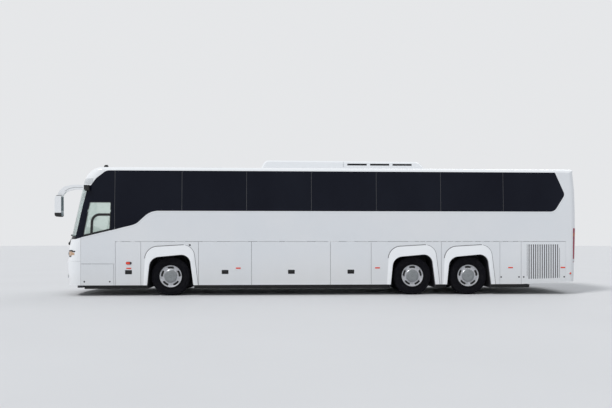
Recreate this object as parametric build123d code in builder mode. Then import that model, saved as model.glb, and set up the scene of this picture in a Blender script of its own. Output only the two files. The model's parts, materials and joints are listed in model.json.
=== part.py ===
"""A high-deck touring coach on three axles, as separate panels, lids, glass, axles and wheels.

Millimetres. +X is forward, +Y is the vehicle's left, +Z is up. The origin is on the ground
under the middle of the vehicle.
"""
from build123d import *
import math
import os

# Driving dimensions of the body
SKIN_Y = 1257            # half width of the flat sides
FLARE_Y = 1275           # half width over the wheel arch mouldings
SKIRT_Z = 278            # lower edge of the skirts
DECK_LINE_Z = 1412       # seam over the lower doors
WAIST_Z = 2206           # lower edge of the window band, where the sides start to lean in
BAND_TOP_Z = 3260        # upper edge of the window band
CANT_Z = 3247            # where the sides turn into the roof corner
CANT_Y = 1215            # half width there
ROOF_Z = 3435            # roof on the centre line
ROOF_CORNER_R = 110
ROOF_TURN = 85           # degrees of the corner before the crown begins
CROWN_Z = 2862           # lower edge of the white dome over the windscreen
NOSE_JOINT_X = 5398      # the straight sides run between these two stations
TAIL_JOINT_X = -6500
WALL = 45                # whole thickness of walls, doors and roof
GLASS = 10
GAP = 4                  # half of a seam between two panels

# Front and rear ends: screen rake, curvature in plan and corner radii
SCREEN_FOOT_X = 6742     # nose on the centre line at the deck line
SCREEN_RAKE = 0.2215     # metres back for each metre up
NOSE_ARC_R = 4500
NOSE_CORNER_R = 380
TAIL_ARC_R = 9000
TAIL_CORNER_R = 200

# Axles
FRONT_AXLE_X = 3990
DRIVE_AXLE_X = -2370
TAG_AXLE_X = -3870
HUB_Z = 505
TYRE_R = 505
TYRE_BULGE = 130         # half width at the sidewalls
RIM_R = 298
BEAD_R = 281
WHEEL_Y = 1066           # middle plane of the outer tyres
TWIN_PITCH = 336         # between the middle planes of twin tyres
KINGPIN_Y = 985
PIN_R = 18

LEFT, RIGHT = 1, -1
REACH = 1500             # past either side of the vehicle

os.makedirs("parts", exist_ok=True)


def save(piece, node):
    """Label one finished piece and write it under its own name."""
    piece.part.label = node
    export_step(piece.part, f"parts/{node}.step")


def half_width(z):
    """Half width of the body at one height."""
    if z > CANT_Z:
        return CANT_Y - ROOF_CORNER_R + math.sqrt(ROOF_CORNER_R**2 - (z - CANT_Z)**2)
    lean = (SKIN_Y - CANT_Y) / (CANT_Z - WAIST_Z)
    return SKIN_Y - max(0, z - WAIST_Z) * lean


def plan_section(z, tip_x, half, corner, arc_r, back_x):
    """Rounded end of the body in plan: a shallow arc across, two corners and straight sides."""
    way = 1 if tip_x > back_x else -1
    edge_x = tip_x - way * (arc_r - math.sqrt(arc_r**2 - half**2))
    with BuildSketch(Plane.XY.offset(z)) as section:
        with BuildLine():
            ThreePointArc((edge_x, half), (tip_x, 0), (edge_x, -half))
            Polyline((edge_x, -half), (back_x, -half), (back_x, half), (edge_x, half))
        make_face()
        fillet([v for v in section.vertices() if abs(v.X - edge_x) < 1], corner)
    return section.sketch


def screen_x(z):
    """Nose on the centre line over the deck line, along the rake of the windscreen."""
    return SCREEN_FOOT_X - (z - DECK_LINE_Z) * SCREEN_RAKE


def corner_point(turn, inset=0):
    """Half width and height on the roof corner, some degrees up from the side."""
    radius = ROOF_CORNER_R - inset
    angle = math.radians(turn)
    return (CANT_Y - ROOF_CORNER_R + radius * math.cos(angle), CANT_Z + radius * math.sin(angle))


def crown_z(y):
    """Height of the crowned roof at one distance from the centre line."""
    edge_y, edge_z = corner_point(ROOF_TURN)
    return ROOF_Z - (ROOF_Z - edge_z) * (y / edge_y) ** 2


def roof_rows():
    """Height, half width and corner radius of the sections that close an end under the roof."""
    rows = []
    for turn, corner in ((30, 330), (60, 280), (ROOF_TURN, 230)):
        half, z = corner_point(turn)
        rows.append((z, half, corner))
    for half, corner in ((850, 200), (450, 110)):
        rows.append((crown_z(half), half, corner))
    return rows


# Height of each crease of the ends, with the place of the centre line there
NOSE_LINE = [(SKIRT_Z, 6780), (560, 6797), (860, 6818), (1010, 6782), (1200, 6784)]
NOSE_LINE += [(z, screen_x(z)) for z in (DECK_LINE_Z, WAIST_Z, CROWN_Z)]
DOME_LINE = [(3000, 6392), (3130, 6338), (BAND_TOP_Z, 6232)]
NOSE_LINE += DOME_LINE
TAIL_LINE = [(SKIRT_Z, -6850), (1000, -6872), (1735, -6890), (WAIST_Z, -6888), (2800, -6876), (3100, -6852)]
TAIL_LINE += [(CANT_Z, -6832)]


def run_on(near, last, spare):
    """Point past the last one of a line, in the line's own direction."""
    slope = (last[1] - near[1]) / (last[0] - near[0])
    return (last[0] + spare, last[1] + slope * spare)


def end_hull(line, inset, corner, arc_r, back_x, spare=0):
    """Closed shape of one end from the skirt up, drawn in by the inset on every side."""
    way = 1 if line[0][1] > back_x else -1
    stations = list(line)
    if spare:
        stations[0] = run_on(line[1], line[0], -spare)
        stations[-1] = run_on(line[-2], line[-1], spare)
    sections = [plan_section(z, tip_x - way * inset, half_width(z) - inset, corner - inset, arc_r - inset,
                             back_x - way * spare) for z, tip_x in stations]
    with BuildPart() as hull:
        loft(sections, ruled=True)
    return hull.part


def end_wall(line, outside, inside, corner, arc_r, back_x):
    """Wall of one end between two depths under the skin, open at the back and at both edges."""
    outer = end_hull(line, outside, corner, arc_r, back_x)
    inner = end_hull(line, inside, corner, arc_r, back_x, 60)
    with BuildPart() as wall:
        add(outer)
        add(inner, mode=Mode.SUBTRACT)
    return wall.part


def nose_wall(outside, inside):
    """Wall of the front end from the skirt to the dome."""
    return end_wall(NOSE_LINE, outside, inside, NOSE_CORNER_R, NOSE_ARC_R, NOSE_JOINT_X)


def tail_wall(outside, inside):
    """Wall of the rear end from the skirt to the roof."""
    return end_wall(TAIL_LINE, outside, inside, TAIL_CORNER_R, TAIL_ARC_R, TAIL_JOINT_X)


def dome_hull():
    """Closed shape of the dome over the windscreen."""
    sections = [plan_section(z, x, half_width(z), NOSE_CORNER_R, NOSE_ARC_R, NOSE_JOINT_X)
                for z, x in [(CROWN_Z, screen_x(CROWN_Z))] + DOME_LINE]
    for z, half, corner in roof_rows():
        climb = (z - DOME_LINE[0][0]) / (ROOF_Z - DOME_LINE[0][0])
        tip_x = 5560 + 835 * math.sqrt(1 - climb**2)
        sections.append(plan_section(z, tip_x, half, corner, NOSE_ARC_R, NOSE_JOINT_X))
    with BuildPart() as hull:
        loft(sections, ruled=True)
    return hull.part


def tail_crown():
    """Closed shape of the rear end of the roof."""
    sections = [plan_section(z, x, half_width(z), TAIL_CORNER_R, TAIL_ARC_R, TAIL_JOINT_X)
                for z, x in TAIL_LINE[-1:]]
    for z, half, corner in roof_rows():
        climb = (z - CANT_Z) / (ROOF_Z - CANT_Z)
        tip_x = -6720 - 112 * math.sqrt(1 - climb**2)
        sections.append(plan_section(z, tip_x, half, min(corner, 120), TAIL_ARC_R, TAIL_JOINT_X))
    with BuildPart() as hull:
        loft(sections, ruled=True)
    return hull.part


def side_hull(inset, low_z):
    """Closed shape of the straight middle of the body."""
    half = SKIN_Y - inset
    edge = corner_point(ROOF_TURN, inset)
    with BuildPart() as hull:
        with BuildSketch(Plane.YZ.offset(TAIL_JOINT_X)):
            with BuildLine():
                Polyline((0, low_z), (half, low_z), (half, WAIST_Z), (CANT_Y - inset, CANT_Z))
                ThreePointArc((CANT_Y - inset, CANT_Z), corner_point(ROOF_TURN / 2, inset), edge)
                ThreePointArc(edge, (edge[0] / 2, crown_z(edge[0] / 2) - inset), (0, ROOF_Z - inset))
                mirror(about=Plane.YZ)
            make_face()
        extrude(amount=NOSE_JOINT_X - TAIL_JOINT_X)
    return hull.part


def shell(outer, inner):
    """Wall between two nested shapes."""
    with BuildPart() as wall:
        add(outer)
        add(inner, mode=Mode.SUBTRACT)
    return wall.part


def side_prism(outline, low_y, high_y, radii=0):
    """Block with an outline drawn in side view, as X and Z, between two values of Y."""
    with BuildPart() as prism:
        with BuildSketch(Plane.XZ.offset(-low_y)):
            with BuildLine():
                FilletPolyline(*outline, radius=radii, close=True)
            make_face()
        extrude(amount=low_y - high_y)
    return prism.part


def box_outline(rear_x, front_x, low_z, high_z):
    """Corners of an upright rectangle in side view."""
    return [(rear_x, low_z), (front_x, low_z), (front_x, high_z), (rear_x, high_z)]


def on_side(side, low, high):
    """Range of Y between two distances from the centre line, on one side."""
    return (low, high) if side == LEFT else (-high, -low)


# Walls of the straight part and of both ends: whole, and the outer layer that the glass takes
lining_hull = side_hull(WALL, SKIRT_Z - 50)
side_skin = side_hull(0, SKIRT_Z)
wall = {"nose": nose_wall(0, WALL), "side": shell(side_skin, lining_hull), "tail": tail_wall(0, WALL)}
glass = {"nose": nose_wall(0, GLASS), "side": shell(side_skin, side_hull(GLASS, SKIRT_Z - 50)),
         "tail": tail_wall(0, GLASS)}

# Window band in side view. The lower edge sweeps down over the front axle towards the windscreen.
SLOPE = 0.244                       # fall of the sill of the driver's window


def sill_z(x):
    """Height of the sloping sill ahead of the sweep."""
    return 1856 - SLOPE * (x - 4876)


PILLAR_FOOT_X = 6440
LEDGE_Z = CROWN_Z + 3               # top of the glass ahead of the slanting roof edge
PILLAR_LINE = [(PILLAR_FOOT_X, sill_z(PILLAR_FOOT_X)), (6240, 2354), (6110, LEDGE_Z), (6035, LEDGE_Z),
               (5905, 3050), (5640, BAND_TOP_Z)]
PILLAR_RADII = [0, 300, 0, 60, 250, 220]
band_outline = [(-6190, WAIST_Z), (4496, WAIST_Z), (4876, 1856), *PILLAR_LINE, (-6222, BAND_TOP_Z), (-6484, 2662)]
band_radii = [210, 510, 430, *PILLAR_RADII, 25, 150]

# Seams between the bonded panes, and the pillars behind them
PANE_SEAMS = (5416, 3692, 2015, 319, -1398, -3117, -4803)
PILLAR_HALF = 70


def pane_outline(rear_x, front_x):
    """Clear opening behind one pane."""
    return box_outline(rear_x + PILLAR_HALF, front_x - PILLAR_HALF, WAIST_Z + 60, BAND_TOP_Z - 90)


FRONT_DOOR = (5439, 6180, 400, 2450)       # rear, front, bottom, top
MIDDLE_DOOR = (-1254, -191, 390, 2150)
CAB_WINDOW = [(5500, 2440), (5525, sill_z(5525) + 30), (6170, sill_z(6170) + 40), (6035, 2440)]
CAB_SEAM_X = 6278         # front edge of the cab side
FLAP_REAR_X = 5439        # flap under the cab window
FLAP_Z = 833

bays = list(zip(PANE_SEAMS[1:], PANE_SEAMS[:-1]))


def cab_prism(low_y, high_y):
    """Cab side between the deck line and the roof, down to the flap, with a post ahead of the service door."""
    foot = [(NOSE_JOINT_X, DECK_LINE_Z + GAP), (NOSE_JOINT_X + GAP, DECK_LINE_Z + GAP),
            (NOSE_JOINT_X + GAP, SKIRT_Z), (FLAP_REAR_X - GAP, SKIRT_Z), (FLAP_REAR_X - GAP, FLAP_Z + GAP),
            (CAB_SEAM_X, FLAP_Z + GAP), (CAB_SEAM_X, sill_z(CAB_SEAM_X))]
    radii = [0] * len(foot) + PILLAR_RADII + [0]
    return side_prism(foot + PILLAR_LINE + [(NOSE_JOINT_X, BAND_TOP_Z)], low_y, high_y, radii)


def side_wall(side):
    """Belt panel, window pillars and cab side of one flank."""
    low_y, high_y = on_side(side, 600, REACH)
    band = side_prism(band_outline, low_y, high_y, band_radii)
    belt = side_prism(box_outline(TAIL_JOINT_X, NOSE_JOINT_X, DECK_LINE_Z + GAP, BAND_TOP_Z), low_y, high_y)
    openings = [side_prism(pane_outline(rear, front), low_y, high_y) for rear, front in bays[1:]]
    openings.append(side_prism([(3762, WAIST_Z + 60), (4500, WAIST_Z + 60), (4880, 1930), (5346, 1800),
                                (5346, 3170), (3762, 3170)], low_y, high_y))
    openings.append(side_prism([(-6130, 2266), (-4873, 2266), (-4873, 3170), (-6180, 3170), (-6370, 2680)],
                               low_y, high_y))
    if side == LEFT:
        openings.append(side_prism(CAB_WINDOW, low_y, high_y, 50))
        openings.append(side_prism([(5490, 2520), (6050, 2520), (5990, 2780), (5850, 2960), (5490, 3150)],
                                   low_y, high_y))
    else:
        rear, front, low, high = FRONT_DOOR
        openings.append(side_prism(box_outline(rear - GAP, front + GAP, SKIRT_Z, high + GAP), low_y, high_y))
        rear, front, low, high = MIDDLE_DOOR
        openings.append(side_prism(box_outline(rear - GAP, front + GAP, SKIRT_Z, high + GAP), low_y, high_y))
    with BuildPart() as middle:
        add(wall["side"])
        add(belt, mode=Mode.INTERSECT)
    with BuildPart() as front:
        add(wall["nose"])
        add(cab_prism(low_y, high_y), mode=Mode.INTERSECT)
    with BuildPart() as pocket_cut:
        add(glass["side"])
        add(glass["nose"])
        add(band, mode=Mode.INTERSECT)
    with BuildPart() as flank:
        add(middle.part)
        add(front.part)
        add(pocket_cut.part, mode=Mode.SUBTRACT)
        add(openings, mode=Mode.SUBTRACT)
    return flank


def side_panes(side):
    """Bonded panes of one flank, with an open seam between neighbours."""
    low_y, high_y = on_side(side, 600, REACH)
    band = side_prism(band_outline, low_y, high_y, band_radii)
    cuts = [side_prism(box_outline(x - GAP, x + GAP, 1500, 3400), low_y, high_y) for x in PANE_SEAMS]
    if side == RIGHT:
        rear, front, low, high = FRONT_DOOR
        cuts.append(side_prism(box_outline(rear - GAP, front + GAP, SKIRT_Z, high + GAP), low_y, high_y))
    with BuildPart() as panes:
        add(glass["side"])
        add(glass["nose"])
        add(band, mode=Mode.INTERSECT)
        add(cuts, mode=Mode.SUBTRACT)
    return panes.part


for side, name in ((LEFT, "left"), (RIGHT, "right")):
    save(side_wall(side), f"side_wall_{name}")

with BuildPart() as side_glazing:
    add(side_panes(LEFT))
    add(side_panes(RIGHT))
save(side_glazing, "side_glazing")

# Roof, dome over the windscreen, windscreen, mask and bumper
roof_zone = side_prism(box_outline(TAIL_JOINT_X, NOSE_JOINT_X, BAND_TOP_Z, 3600), -REACH, REACH)
with BuildPart() as roof_panel:
    add(wall["side"])
    add(roof_zone, mode=Mode.INTERSECT)
save(roof_panel, "roof_panel")

DOME_INNER_Y = 1145
dome_hollow = plan_section(CROWN_Z - 50, screen_x(CROWN_Z) - 260, CANT_Y - WALL - 20, 330, NOSE_ARC_R,
                           NOSE_JOINT_X - 100)
with BuildPart() as front_dome:
    add(dome_hull())
    extrude(dome_hollow, amount=CANT_Z - CROWN_Z - 20, mode=Mode.SUBTRACT)
    with Locations(((NOSE_JOINT_X + 5900) / 2 - 50, 0, ROOF_Z - 200)):
        Box(5900 - NOSE_JOINT_X + 100, 2 * 1040, 250, mode=Mode.SUBTRACT)
    for side in (LEFT, RIGHT):
        add(cab_prism(*on_side(side, DOME_INNER_Y, REACH)), mode=Mode.SUBTRACT)
save(front_dome, "front_dome")

screen_zone = side_prism([(PILLAR_FOOT_X + 4, sill_z(PILLAR_FOOT_X)), (7000, sill_z(PILLAR_FOOT_X)),
                          (7000, CROWN_Z - GAP), (6114, CROWN_Z - GAP), (6244, 2354)], -REACH, REACH,
                         [0, 0, 0, 0, 300])
with BuildPart() as windscreen:
    add(glass["nose"])
    add(screen_zone, mode=Mode.INTERSECT)
save(windscreen, "windscreen")

MASK_LOW_Z = 905
MASK_REAR_X = CAB_SEAM_X + 2 * GAP - 2
mask_zone = side_prism([(MASK_REAR_X, MASK_LOW_Z), (7000, MASK_LOW_Z), (7000, sill_z(PILLAR_FOOT_X) - GAP),
                        (PILLAR_FOOT_X, sill_z(PILLAR_FOOT_X) - GAP), (MASK_REAR_X, sill_z(MASK_REAR_X) - GAP)],
                       -REACH, REACH)
with BuildPart() as front_mask:
    add(wall["nose"])
    add(mask_zone, mode=Mode.INTERSECT)
save(front_mask, "front_mask")

bumper_zone = side_prism(box_outline(MASK_REAR_X, 7000, SKIRT_Z, MASK_LOW_Z - GAP), -REACH, REACH)
with BuildPart() as front_bumper:
    add(wall["nose"])
    add(bumper_zone, mode=Mode.INTERSECT)
save(front_bumper, "front_bumper")

# Rear end: mask with an opening for the engine lid, a window, and a rising lower edge
LID_HALF_Y, LID_LOW_Z, LID_HIGH_Z = 860, 640, 1560
WINDOW_HALF_Y, WINDOW_LOW_Z, WINDOW_HIGH_Z = 1020, 2330, 3080


def cross_prism(half_y, low_z, high_z, radius=0):
    """Block through the rear end, drawn from behind."""
    with BuildPart() as prism:
        with BuildSketch(Plane.YZ.offset(-7200)):
            with Locations((0, (low_z + high_z) / 2)):
                if radius:
                    RectangleRounded(2 * half_y, high_z - low_z, radius)
                else:
                    Rectangle(2 * half_y, high_z - low_z)
        extrude(amount=690)
    return prism.part


tail_foot = side_prism([(-7000, 200), (TAIL_JOINT_X, 200), (TAIL_JOINT_X, 337), (-7000, 352)], -REACH, REACH)
lid_opening = cross_prism(LID_HALF_Y, LID_LOW_Z, LID_HIGH_Z)
window_pocket = cross_prism(WINDOW_HALF_Y, WINDOW_LOW_Z, WINDOW_HIGH_Z, 90)
window_opening = cross_prism(WINDOW_HALF_Y - 70, WINDOW_LOW_Z + 70, WINDOW_HIGH_Z - 70, 60)
with BuildPart() as rear_window:
    add(glass["tail"])
    add(window_pocket, mode=Mode.INTERSECT)
save(rear_window, "rear_window")
with BuildPart() as rear_dome:
    add(tail_crown())
    with Locations((TAIL_JOINT_X - 95, 0, ROOF_Z - 235)):
        Box(290, 2 * 1040, 330, mode=Mode.SUBTRACT)
save(rear_dome, "rear_dome")
with BuildPart() as rear_mask:
    add(wall["tail"])
    add([tail_foot, lid_opening, window_opening], mode=Mode.SUBTRACT)
    add(rear_window.part, mode=Mode.SUBTRACT)
save(rear_mask, "rear_mask")
lid_zone = cross_prism(LID_HALF_Y - 2 * GAP, LID_LOW_Z + 2 * GAP, LID_HIGH_Z - 2 * GAP)
with BuildPart() as engine_lid:
    add(wall["tail"])
    add(lid_zone, mode=Mode.INTERSECT)
save(engine_lid, "engine_lid")

# Wheel arches in side view, from the hub: the legs lean in, the top falls towards the front, and a
# wider moulding stands proud of the skin. Columns: front foot, rear foot, front shoulder, rear shoulder.
OPENING = (593, -600, (521, 491), (-493, 583))
OPENING_RADII = (270, 240)
MOULDING = (693, -718, (635, 761), (-589, 833))
MOULDING_RADII = (330, 300)
MOULDING_STEP = 7         # height of its outer edge over the skin
LIP_W = 48                # flat lip around the opening


def arch_outline(hub_x, arch, grow=0, low_z=SKIRT_Z):
    """Outline of an arch drawn outwards by an amount: rear foot, front foot, front and rear shoulder."""
    front_foot, rear_foot, front_shoulder, rear_shoulder = arch
    feet, shoulders = [], []
    for way, foot, (shoulder_x, shoulder_z) in ((-1, rear_foot, rear_shoulder), (1, front_foot, front_shoulder)):
        lean = (foot - shoulder_x) / (shoulder_z + HUB_Z - SKIRT_Z)
        feet.append((hub_x + foot + way * grow + lean * (SKIRT_Z - low_z), low_z))
        shoulders.append((hub_x + shoulder_x + way * grow, HUB_Z + shoulder_z + grow))
    return feet + shoulders[::-1]


def arch_radii(radii, grow=0):
    """Corner radii of an arch outline, in the same order."""
    return [0, 0, radii[0] + grow, radii[1] + grow]


def skirt_plate(outline, side, radii=0):
    """Flat panel of the lower side."""
    low_y, high_y = on_side(side, SKIN_Y - WALL, SKIN_Y)
    return side_prism(outline, low_y, high_y, radii)


def arch_flare(hub_x, side):
    """Moulding around an arch that rises from the skin to its lip."""
    faces = []
    for arch, radii, grow, y in ((MOULDING, MOULDING_RADII, 0, SKIN_Y),
                                 (MOULDING, MOULDING_RADII, -4, SKIN_Y + MOULDING_STEP),
                                 (OPENING, OPENING_RADII, LIP_W, FLARE_Y)):
        with BuildSketch(Plane.XZ.offset(-side * y)) as ring:
            with BuildLine():
                FilletPolyline(*arch_outline(hub_x, arch, grow), radius=arch_radii(radii, grow), close=True)
            make_face()
        faces.append(ring.sketch)
    with BuildPart() as flare:
        loft(faces, ruled=True)
    return flare.part


def arch_panel(hub_x, rear_x, front_x, side):
    """Skirt panel with its arch opening and the flared moulding."""
    low_y, high_y = on_side(side, 1000, REACH)
    opening = side_prism(arch_outline(hub_x, OPENING, 0, SKIRT_Z - 100), low_y, high_y,
                         arch_radii(OPENING_RADII))
    with BuildPart() as panel:
        add(skirt_plate(box_outline(rear_x + GAP, front_x - GAP, SKIRT_Z, DECK_LINE_Z - GAP), side))
        add(arch_flare(hub_x, side))
        add(opening, mode=Mode.SUBTRACT)
    return panel.part


# Lower side seams, front to rear
SEAM_SERVICE = (NOSE_JOINT_X, 4747)
SEAM_FRONT_ARCH = (4747, 3264)
SEAM_HOLDS = (3264, 1884, -185, -1260)
SEAM_DRIVE_ARCH = (-1260, -3133)
SEAM_TAG_ARCH = (-3133, -4709)
SEAM_BATTERY = (-4709, -5285)
SEAM_GRILLE = (-5285, -6500)
REAR_FOOT_Z = 337         # the skirt rises behind the tag axle


def cab_skirt(side):
    """Lower edge of the cab side, between the mask and the post ahead of the service door."""
    low_y, high_y = on_side(side, 600, REACH)
    with BuildPart() as panel:
        add(wall["nose"])
        add(side_prism(box_outline(FLAP_REAR_X + GAP, CAB_SEAM_X, SKIRT_Z, FLAP_Z - GAP), low_y, high_y),
            mode=Mode.INTERSECT)
    return panel


save(cab_skirt(LEFT), "low_flap_left")


rear_outline = [(SEAM_GRILLE[1] + GAP, REAR_FOOT_Z), (SEAM_GRILLE[0] - GAP, SKIRT_Z),
                (SEAM_GRILLE[0] - GAP, DECK_LINE_Z - GAP), (SEAM_GRILLE[1] + GAP, DECK_LINE_Z - GAP)]
for side, name in ((LEFT, "left"), (RIGHT, "right")):
    with BuildPart() as skirt:
        add(arch_panel(FRONT_AXLE_X, SEAM_FRONT_ARCH[1], SEAM_FRONT_ARCH[0], side))
        add(arch_panel(DRIVE_AXLE_X, SEAM_DRIVE_ARCH[1], SEAM_DRIVE_ARCH[0], side))
        add(arch_panel(TAG_AXLE_X, SEAM_TAG_ARCH[1], SEAM_TAG_ARCH[0], side))
        if side == RIGHT:
            add(skirt_plate(box_outline(SEAM_BATTERY[1] + GAP, SEAM_BATTERY[0] - GAP, SKIRT_Z,
                                        DECK_LINE_Z - GAP), side))
            add(skirt_plate(rear_outline, side))
            rear, front, low, high = FRONT_DOOR
            door_way = side_prism(box_outline(rear - GAP, front + GAP, low - GAP, high), -REACH, -600)
            add(cab_skirt(side).part - door_way)
    save(skirt, f"skirt_{name}")

# Lower doors, hinged along their top edges. Columns: name, rear seam, front seam, side.
DOORS = (
    ("service_door_left", SEAM_SERVICE[1], SEAM_SERVICE[0], LEFT),
    ("hold_door_left_front", SEAM_HOLDS[1], SEAM_HOLDS[0], LEFT),
    ("hold_door_left_middle", SEAM_HOLDS[2], SEAM_HOLDS[1], LEFT),
    ("hold_door_left_rear", SEAM_HOLDS[3], SEAM_HOLDS[2], LEFT),
    ("battery_door_left", SEAM_BATTERY[1], SEAM_BATTERY[0], LEFT),
    ("service_door_right", SEAM_SERVICE[1], SEAM_SERVICE[0], RIGHT),
    ("hold_door_right_front", SEAM_HOLDS[1], SEAM_HOLDS[0], RIGHT),
    ("hold_door_right_middle", SEAM_HOLDS[2], SEAM_HOLDS[1], RIGHT),
)
HANDLE_X = {"service_door_left": 5061, "hold_door_left_front": 2573, "hold_door_left_middle": 844,
            "hold_door_left_rear": -721, "service_door_right": 5061, "hold_door_right_front": 2573,
            "hold_door_right_middle": 844}
HANDLE_Z, HANDLE_W, HANDLE_H, HANDLE_DEPTH = 618, 170, 100, 22
for node, rear, front, side in DOORS:
    with BuildPart() as door:
        add(skirt_plate(box_outline(rear + GAP, front - GAP, SKIRT_Z, DECK_LINE_Z - GAP), side))
        if node in HANDLE_X:
            with Locations((HANDLE_X[node], side * SKIN_Y, HANDLE_Z)):
                Box(HANDLE_W, 2 * HANDLE_DEPTH, HANDLE_H, mode=Mode.SUBTRACT)
    save(door, node)

# Engine side door with its air grille: upright bars in an opening with two cut corners
GRILLE_OUTLINE = [(-6339, 437), (-5478, 412), (-5442, 500), (-5442, 1332), (-6295, 1332), (-6339, 1225)]
BARS, BAR_SHARE, BAR_DEPTH = 15, 0.55, 28
bar_pitch = (GRILLE_OUTLINE[2][0] - GRILLE_OUTLINE[0][0]) / BARS
grille_hole = side_prism(GRILLE_OUTLINE, SKIN_Y - 2 * WALL, REACH)
with BuildPart() as bars:
    with Locations([(GRILLE_OUTLINE[0][0] + bar_pitch * (i + 0.5), SKIN_Y - 4 - BAR_DEPTH / 2, 872)
                    for i in range(BARS)]):
        Box(bar_pitch * BAR_SHARE, BAR_DEPTH, 920)
    add(grille_hole, mode=Mode.INTERSECT)
with BuildPart() as grille_door:
    add(skirt_plate(rear_outline, LEFT))
    add(grille_hole, mode=Mode.SUBTRACT)
    add(bars.part)
save(grille_door, "grille_door_left")

# Plug doors on the right: they move out and then along, so they stay shut here
with BuildPart() as passenger_doors:
    rear, front, low, high = FRONT_DOOR
    add(wall["nose"])
    add(side_prism(box_outline(rear, front, low, high), -REACH, -600), mode=Mode.INTERSECT)
    add(side_prism(box_outline(rear + 110, front - 110, 560, high - 120), -REACH, -600, 50), mode=Mode.SUBTRACT)
    rear, front, low, high = MIDDLE_DOOR
    add(skirt_plate(box_outline(rear, front, low, high), RIGHT))
    add(side_prism(box_outline(rear + 120, front - 120, 1100, high - 120), -REACH, -600, 50),
        mode=Mode.SUBTRACT)
save(passenger_doors, "passenger_doors")
rear, front, low, high = FRONT_DOOR
front_pane = side_prism(box_outline(rear + 110, front - 110, 560, high - 120), -REACH, -600, 50)
rear, front, low, high = MIDDLE_DOOR
middle_pane = side_prism(box_outline(rear + 120, front - 120, 1100, high - 120), -REACH, -600, 50)
with BuildPart() as door_glazing:
    add(glass["nose"])
    add(glass["side"])
    add(front_pane + middle_pane, mode=Mode.INTERSECT)
save(door_glazing, "door_glazing")

# Saloon floor on its high deck, with the low cab floor ahead of it
SALOON_Z = 1370
CAB_FLOOR_Z = 900
STEP_X = 5060
INNER_Y = SKIN_Y - WALL
cab_plan = plan_section(CAB_FLOOR_Z, 6640, INNER_Y - 6, 320, NOSE_ARC_R, STEP_X)
with BuildPart() as saloon_floor:
    with Locations(((STEP_X - 6480) / 2, 0, SALOON_Z - 20)):
        Box(STEP_X + 6480, 2 * INNER_Y, 40)
    with Locations((STEP_X + 20, 0, (SALOON_Z + CAB_FLOOR_Z) / 2)):
        Box(40, 2 * INNER_Y, SALOON_Z - CAB_FLOOR_Z)
    extrude(cab_plan, amount=-40)
save(saloon_floor, "saloon_floor")

# Luggage holds: a floor and upright bulkheads between the axles
HOLD_FLOOR_Z = 330
HOLD_HALF_Y = 1200
with BuildPart() as luggage_hold:
    with Locations(((SEAM_HOLDS[0] + SEAM_HOLDS[3]) / 2, 0, HOLD_FLOOR_Z - 15)):
        Box(SEAM_HOLDS[0] - SEAM_HOLDS[3] - 20, 2 * HOLD_HALF_Y, 30)
    with Locations([(x, 0, (HOLD_FLOOR_Z + SALOON_Z - 40) / 2)
                    for x in (SEAM_HOLDS[0] - 25, SEAM_HOLDS[1], SEAM_HOLDS[2], SEAM_HOLDS[3] + 25)]):
        Box(30, 2 * HOLD_HALF_Y, SALOON_Z - 40 - HOLD_FLOOR_Z)
save(luggage_hold, "luggage_hold")

# Underframe: two rails that run low between the axles and arch over them, with cross members
RAIL_Y, RAIL_W = 420, 80
RAIL_LINE = [(6250, 430), (4800, 430), (4500, 860), (3480, 860), (3300, 640), (3290, 1240), (3380, 1240),
             (3380, 1010), (4640, 1010), (4860, 600), (6250, 600)]
REAR_LINE = [(-1290, 640), (-1290, 1240), (-1380, 1240), (-1380, 1010), (-6300, 1010), (-6300, 860),
             (-1480, 860)]
CROSS_X = (5900, 5000, 4420, 3560, -1500, -3120, -4600, -6250)
with BuildPart() as underframe:
    for side in (LEFT, RIGHT):
        low_y, high_y = on_side(side, RAIL_Y - RAIL_W / 2, RAIL_Y + RAIL_W / 2)
        add(side_prism(RAIL_LINE, low_y, high_y))
        add(side_prism(REAR_LINE, low_y, high_y))
    for x in CROSS_X:
        z = 515 if x > 4800 else 935
        with Locations((x, 0, z)):
            Box(80, 2 * RAIL_Y, 90)
save(underframe, "underframe")

# Wheel housings: arched linings over the wheels with an inner wall above the axle
HOUSING_GROW = 22
HOUSING_T = 10
HOUSING_INNER_Y = 575


def wheel_housing(hub_x, side):
    """Lining of one wheel space."""
    inner, outer = on_side(side, HOUSING_INNER_Y, INNER_Y - 1)
    hollow_low, hollow_high = on_side(side, HOUSING_INNER_Y + HOUSING_T, REACH)
    cover = side_prism(arch_outline(hub_x, OPENING, HOUSING_GROW), inner, outer,
                       arch_radii(OPENING_RADII, HOUSING_GROW))
    hollow = side_prism(arch_outline(hub_x, OPENING, HOUSING_GROW - HOUSING_T, SKIRT_Z - 50),
                        hollow_low, hollow_high, arch_radii(OPENING_RADII, HOUSING_GROW - HOUSING_T))
    axle_way = side_prism(box_outline(hub_x - 130, hub_x + 130, SKIRT_Z - 50, HUB_Z + 120),
                          *on_side(side, HOUSING_INNER_Y - 50, HOUSING_INNER_Y + HOUSING_T))
    with BuildPart() as housing:
        add(cover)
        add(hollow, mode=Mode.SUBTRACT)
        add(axle_way, mode=Mode.SUBTRACT)
    return housing.part


with BuildPart() as wheel_housings:
    for hub_x in (FRONT_AXLE_X, DRIVE_AXLE_X, TAG_AXLE_X):
        for side in (LEFT, RIGHT):
            add(wheel_housing(hub_x, side))
save(wheel_housings, "wheel_housings")

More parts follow.
